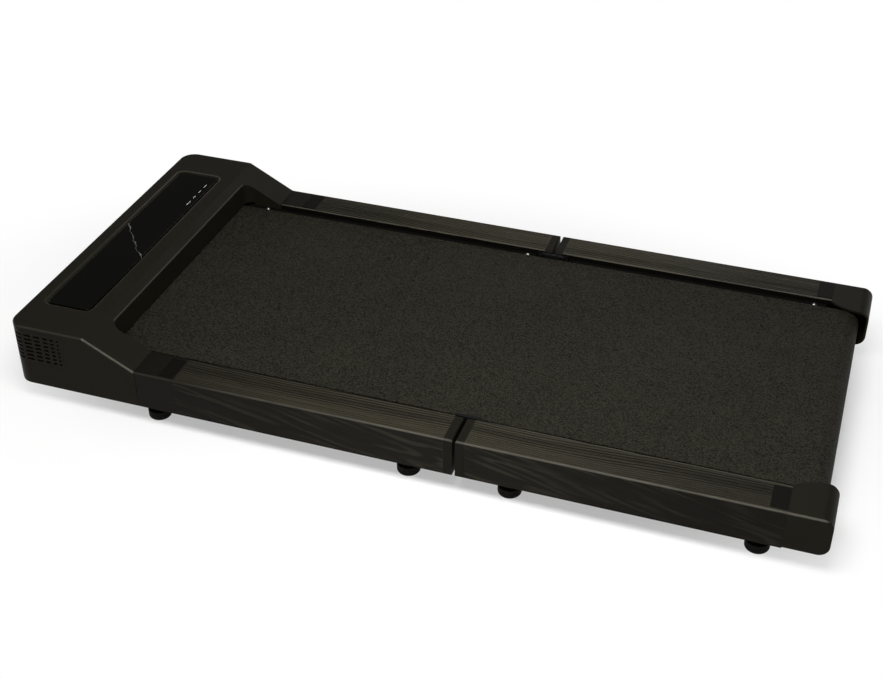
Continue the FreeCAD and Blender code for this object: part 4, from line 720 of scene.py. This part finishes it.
def buildBelt(name, centreX, way):
    low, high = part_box("walking_belt")
    edge, thick, soft = high.y, belt["thickness"], belt["chamfer"]
    section = [(-edge, thick), (-edge, soft), (-edge + soft, 0.0),
               (edge - soft, 0.0), (edge, soft), (edge, thick)]
    form = bmesh.new()
    rings = []
    for x, z, normal in beltRun(centreX, belt["joint"], low.z, high.z, way):
        rings.append([form.verts.new((x - normal[0] * depth, y, z - normal[1] * depth))
                      for y, depth in section])
    loft(form, rings)
    bmesh.ops.recalc_face_normals(form, faces=form.faces)
    for face in form.faces:
        face.smooth = True
    piece = keepForm(name, form)
    piece.data.materials.append(finishes["belt"])
    piece.data.set_sharp_from_angle(angle=math.radians(belt["sharpAngle"]))
    return piece


beltLow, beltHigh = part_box("walking_belt")
beltRadius = (beltHigh.z - beltLow.z) / 2
frontBelt = buildBelt("frontBelt", beltLow.x + beltRadius, -1)
rearBelt = buildBelt("rearBelt", beltHigh.x - beltRadius, 1)
for piece, bodies, start, end in (
        (frontBelt, ("front_frame", "hinge_links"), belt["joint"] - belt["blendReach"], belt["joint"]),
        (rearBelt, ("hinge_links", "rear_frame"), belt["joint"], belt["joint"] + belt["blendReach"])):
    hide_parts("walking_belt")
    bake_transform(piece)
print("belt done")


# screws: a head of shoulder and sloping crown, with a cross recess, on a plain shank
screwForm = {"headSides": 28, "shankSides": 16, "shoulder": 0.4, "headOverlap": 0.0001, "shankOverlap": 0.001}


def makeScrewTree():
    tree, given, out = newTree("crossScrews", [
        "Head Radius", "Head Height", "Top Share", "Shank Radius", "Shank Length", "Recess Length",
        "Recess Width"], vectors=["Turn"], counts=["Seed"])

    def share(size, part):
        return calc(tree, "MULTIPLY", given[size], part)

    shoulder = put(tree, "GeometryNodeMeshCylinder", {
        "Vertices": screwForm["headSides"], "Radius": given["Head Radius"],
        "Depth": share("Head Height", screwForm["shoulder"])})
    crown = put(tree, "GeometryNodeMeshCone", {
        "Vertices": screwForm["headSides"], "Radius Top": share("Head Radius", given["Top Share"]),
        "Radius Bottom": given["Head Radius"], "Depth": share("Head Height", 1 - screwForm["shoulder"])})
    shank = put(tree, "GeometryNodeMeshCylinder", {
        "Vertices": screwForm["shankSides"], "Radius": given["Shank Radius"], "Depth": given["Shank Length"]})

    def lift(mesh, z):
        spot = put(tree, "ShaderNodeCombineXYZ", {"Z": z}).outputs[0]
        return put(tree, "GeometryNodeTransform", {"Geometry": mesh, "Translation": spot}).outputs[0]

    def slotBox(length, width):
        size = put(tree, "ShaderNodeCombineXYZ", {"X": length, "Y": width, "Z": given["Head Height"]})
        box = put(tree, "GeometryNodeMeshCube", {"Size": size.outputs[0]})
        return lift(box.outputs[0], given["Head Height"])

    # the three solids overlap by a hair, so that they join
    head = put(tree, "GeometryNodeMeshBoolean", operation="UNION")
    for solid, height in (
            (shoulder, share("Head Height", screwForm["shoulder"] / 2)),
            (crown, share("Head Height", screwForm["shoulder"] - screwForm["headOverlap"])),
            (shank, share("Shank Length", screwForm["shankOverlap"] - 0.5))):
        tree.links.new(lift(solid.outputs[0], height), head.inputs["Mesh 2"])
    carved = put(tree, "GeometryNodeMeshBoolean", {"Mesh 1": head.outputs[0]}, operation="DIFFERENCE")
    tree.links.new(slotBox(given["Recess Length"], given["Recess Width"]), carved.inputs["Mesh 2"])
    tree.links.new(slotBox(given["Recess Width"], given["Recess Length"]), carved.inputs["Mesh 2"])
    # 2 and 3 are the least and most of a random number, and 1 gives it
    spin = put(tree, "FunctionNodeRandomValue", {2: 0.0, 3: math.pi, "Seed": given["Seed"]},
               data_type="FLOAT")
    twist = put(tree, "ShaderNodeCombineXYZ", {"Z": spin.outputs[1]}).outputs[0]
    tilt = put(tree, "ShaderNodeVectorMath", {0: given["Turn"], 1: twist}, operation="ADD").outputs[0]
    placed = put(tree, "GeometryNodeInstanceOnPoints", {"Points": given["Geometry"],
                                                        "Instance": carved.outputs[0], "Rotation": tilt})
    return closeTree(tree, given, out, placed.outputs[0])


screwTree = makeScrewTree()


def setScrews(name, spots, sizes, turn, slot):
    mesh = bpy.data.meshes.new(name)
    mesh.from_pydata([tuple(spot) for spot in spots], [], [])
    obj = newPiece(name, mesh)
    return runTree(obj, screwTree, {
        "Head Radius": sizes["head"] / 2, "Head Height": sizes["height"], "Top Share": sizes["topShare"],
        "Shank Radius": sizes["shank"] / 2, "Shank Length": sizes["length"],
        "Recess Length": sizes["recess"], "Recess Width": sizes["recessWidth"], "Turn": turn,
        "Seed": sizes["seed"], "Finish": finishes[slot]})


deckScrew = {"head": 0.007, "height": 0.0026, "topShare": 0.6, "shank": 0.004, "length": 0.024,
             "recess": 0.0034, "recessWidth": 0.001, "sink": 0.0006, "seed": 5}


def islandMiddles(node):
    # the middle and the highest corner of each loose solid of a CAD node
    form = bmesh.new()
    form.from_mesh(cadNodes[node].data)
    bmesh.ops.remove_doubles(form, verts=form.verts, dist=mergeDistance)
    left, found = set(form.verts), []
    while left:
        stack, island = [left.pop()], []
        while stack:
            vert = stack.pop()
            island.append(vert.co.copy())
            for edge in vert.link_edges:
                other = edge.other_vert(vert)
                if other in left:
                    left.remove(other)
                    stack.append(other)
        lowest = Vector([min(co[axis] for co in island) for axis in range(3)])
        highest = Vector([max(co[axis] for co in island) for axis in range(3)])
        found.append(((lowest + highest) / 2, highest))
    form.free()
    return sorted(found, key=lambda row: (row[0].x, row[0].y))


for half in ("front", "rear"):
    node = f"{half}_deck_screws"
    spots = [(middle.x, middle.y, highest.z - deckScrew["height"] - deckScrew["sink"])
             for middle, highest in islandMiddles(node)]
    screws = setScrews(f"{half}DeckScrews", spots, deckScrew, (0.0, 0.0, 0.0), "zinc_steel")
    fixPiece(screws, f"{half}_frame", [node])
print("deck screws done")

# the head's floor is held by a row of screws along its front and rear edges, heads down
panScrew = {"head": 0.008, "height": 0.0022, "topShare": 0.62, "shank": 0.004, "length": 0.0015,
            "recess": 0.004, "recessWidth": 0.0011, "inset": 0.009, "endInset": 0.018, "perRow": 4,
            "seed": 9}
panLow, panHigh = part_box("base_pan")
firstY, lastY = panLow.y + panScrew["endInset"], panHigh.y - panScrew["endInset"]
panSpots = [(x, y, panLow.z) for x in (panLow.x + panScrew["inset"], panHigh.x - panScrew["inset"])
            for y in spread(firstY, lastY, (lastY - firstY) / (panScrew["perRow"] - 1))]
panScrews = setScrews("panScrews", panSpots, panScrew, (math.pi, 0.0, 0.0), "black_steel")
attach(panScrews, "front_frame")
print("pan screws done", len(panSpots))


# the display's four idle segments, printed bars on the window
dashes = {"x": -0.4817, "firstY": 0.1163, "pitch": 0.019, "count": 4, "length": 0.0085, "firstLength": 0.0135,
          "width": 0.0012, "rise": 0.00015}


def makeDashTree():
    tree, given, out = newTree("segmentBars", ["Length", "First Length", "Width", "Rise"],
                               vectors=["Start", "Step"], counts=["Count"])
    row = put(tree, "GeometryNodeMeshLine", {"Count": given["Count"], "Start Location": given["Start"],
                                             "Offset": given["Step"]})
    first = put(tree, "FunctionNodeCompare", {2: put(tree, "GeometryNodeInputIndex").outputs[0], 3: 0},
                data_type="INT", operation="EQUAL").outputs[0]
    long = put(tree, "GeometryNodeSwitch", {0: first, 1: given["Length"], 2: given["First Length"]},
               input_type="FLOAT").outputs[0]
    bar = put(tree, "GeometryNodeMeshCube", {"Size": (1.0, 1.0, 1.0)})
    size = put(tree, "ShaderNodeCombineXYZ", {"X": given["Width"], "Y": long, "Z": given["Rise"]}).outputs[0]
    placed = put(tree, "GeometryNodeInstanceOnPoints", {"Points": row.outputs[0], "Instance": bar.outputs[0],
                                                        "Scale": size})
    return closeTree(tree, given, out, placed.outputs[0])


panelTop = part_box("display_panel")[1].z
paleInk = mouldedPlastic("paleInk", tone(176, 176, 170), tone(196, 196, 190), 0.45, 0.3, 1800.0, 0.00002)
bars = newPiece("displaySegments", bpy.data.meshes.new("displaySegments"))
runTree(bars, makeDashTree(), {
    "Count": dashes["count"], "Start": (dashes["x"], dashes["firstY"], panelTop),
    "Step": (0.0, dashes["pitch"], 0.0), "Length": dashes["length"], "First Length": dashes["firstLength"],
    "Width": dashes["width"], "Rise": dashes["rise"], "Finish": paleInk})
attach(bars, "front_frame")
print("display done")


# stage: floor that sweeps up into a low backdrop, soft lamps, camera
stage = {"floorRadius": 8.0, "sweep": 1.0, "wallHeight": 2.9, "pale": (0.97, 0.97, 0.965, 1.0), "glow": 1.0,
         "shade": (0.95, 0.95, 0.945, 1.0), "squeeze": (1.0, 1.7, 0.0), "glowFrom": 0.5, "glowTo": 0.92,
         "leastGlow": 0.4, "world": 0.1, "rings": 12, "sweepSteps": 8, "turns": 96}


def buildStage():
    form = bmesh.new()
    radius, sweep, turns = stage["floorRadius"], stage["sweep"], stage["turns"]
    profile = [(radius * step / stage["rings"], 0.0) for step in range(1, stage["rings"] + 1)]
    for step in range(1, stage["sweepSteps"] + 1):
        angle = math.pi / 2 * step / stage["sweepSteps"]
        profile.append((radius + sweep * math.sin(angle), sweep - sweep * math.cos(angle)))
    profile.append((radius + sweep, stage["wallHeight"]))
    angles = [2 * math.pi * turn / turns for turn in range(turns)]
    rings = [[form.verts.new((reach * math.cos(angle), reach * math.sin(angle), z)) for angle in angles]
             for reach, z in profile]
    centre = form.verts.new((0.0, 0.0, 0.0))
    for turn in range(turns):
        form.faces.new((centre, rings[0][turn], rings[0][(turn + 1) % turns]))
    for first, second in zip(rings, rings[1:]):
        for turn in range(turns):
            following = (turn + 1) % turns
            form.faces.new((first[turn], second[turn], second[following], first[following]))
    for face in form.faces:
        face.smooth = True
    return keepForm("paleFloor", form)


def makeFloorFinish():
    # near the pad the floor takes its shadow; further out it is an even pale ground
    material, tree, shader, place = newFinish("palePaper", 0.9, 0.1)
    grain = groupNode(tree, mouldedGrain, {"Vector": place, "Scale": 200.0, "Mottle Scale": 2.0})
    shade = mixColor(tree, grain["Mottle"], stage["pale"], stage["shade"])
    tree.links.new(shade, shader.inputs["Base Color"])
    squeezed = put(tree, "ShaderNodeVectorMath", {0: place, 1: stage["squeeze"]}, operation="MULTIPLY")
    reach = put(tree, "ShaderNodeVectorMath", {0: squeezed.outputs[0]}, operation="LENGTH").outputs["Value"]
    paths = put(tree, "ShaderNodeLightPath").outputs
    seen = calc(tree, "MAXIMUM", calc(tree, "MAXIMUM", paths["Is Camera Ray"], paths["Is Glossy Ray"]),
                paths["Is Transmission Ray"])
    glow = put(tree, "ShaderNodeEmission", {"Color": (1, 1, 1, 1), "Strength": stage["glow"]})
    share = ramp(tree, reach, stage["glowFrom"], stage["glowTo"], stage["leastGlow"])
    share = calc(tree, "MULTIPLY", share, seen)
    both = put(tree, "ShaderNodeMixShader", {0: share, 1: shader.outputs[0], 2: glow.outputs[0]})
    tree.links.new(both.outputs[0], tree.nodes["Material Output"].inputs["Surface"])
    return material


floor = buildStage()
floor.data.materials.append(makeFloorFinish())

world = bpy.data.worlds.new("dimRoom")
world.use_nodes = True
world.node_tree.nodes["Background"].inputs["Color"].default_value = (stage["world"],) * 3 + (1.0,)
scene.world = world

lamps = [
    {"name": "topSoftbox", "at": (0.2, -0.6, 1.35), "aim": (0.1, 0.0, 0.0), "size": (0.8, 0.6),
     "power": 20.5},
    {"name": "leftSoftbox", "at": (-0.85, -1.0, 2.6), "aim": (-0.1, 0.0, 0.0), "size": (1.5, 0.7),
     "power": 6.0},
    {"name": "frontFill", "at": (0.2, -2.2, 1.0), "aim": (0.0, 0.0, 0.0), "size": (1.2, 0.7),
     "power": 7.0},
    {"name": "backPanel", "at": (0.15, 2.2, 1.7), "aim": (0.05, 0.0, 0.1), "size": (0.7, 0.9),
     "power": 8.5},
    {"name": "headFill", "at": (-1.9, 0.1, 0.45), "aim": (-0.55, 0.0, 0.07), "size": (0.6, 0.5),
     "power": 5.5},
]
for row in lamps:
    lamp = bpy.data.lights.new(row["name"], "AREA")
    lamp.shape = "RECTANGLE"
    lamp.size, lamp.size_y = row["size"]
    lamp.energy = row["power"]
    holder = newPiece(row["name"], lamp)
    holder.location = row["at"]
    holder.rotation_euler = (Vector(row["aim"]) - Vector(row["at"])).to_track_quat("-Z", "Y").to_euler()

shot = {"lens": 57.5, "sensor": 36.0, "target": (-0.0264, 0.0159, 0.0286), "azimuth": 18.83,
        "elevation": 34.88, "distance": 2.0793}
lens = bpy.data.cameras.new("camera")
lens.lens = shot["lens"]
lens.sensor_width = shot["sensor"]
lens.sensor_fit = "HORIZONTAL"
camera = newPiece("camera", lens)
azimuth, elevation = math.radians(shot["azimuth"]), math.radians(shot["elevation"])
reachOut = Vector((math.sin(azimuth) * math.cos(elevation), -math.cos(azimuth) * math.cos(elevation),
                   math.sin(elevation)))
camera.location = Vector(shot["target"]) + reachOut * shot["distance"]
camera.rotation_euler = (-reachOut).to_track_quat("-Z", "Y").to_euler()
scene.camera = camera
print("stage, lamps and camera set")

bpy.context.view_layer.update()
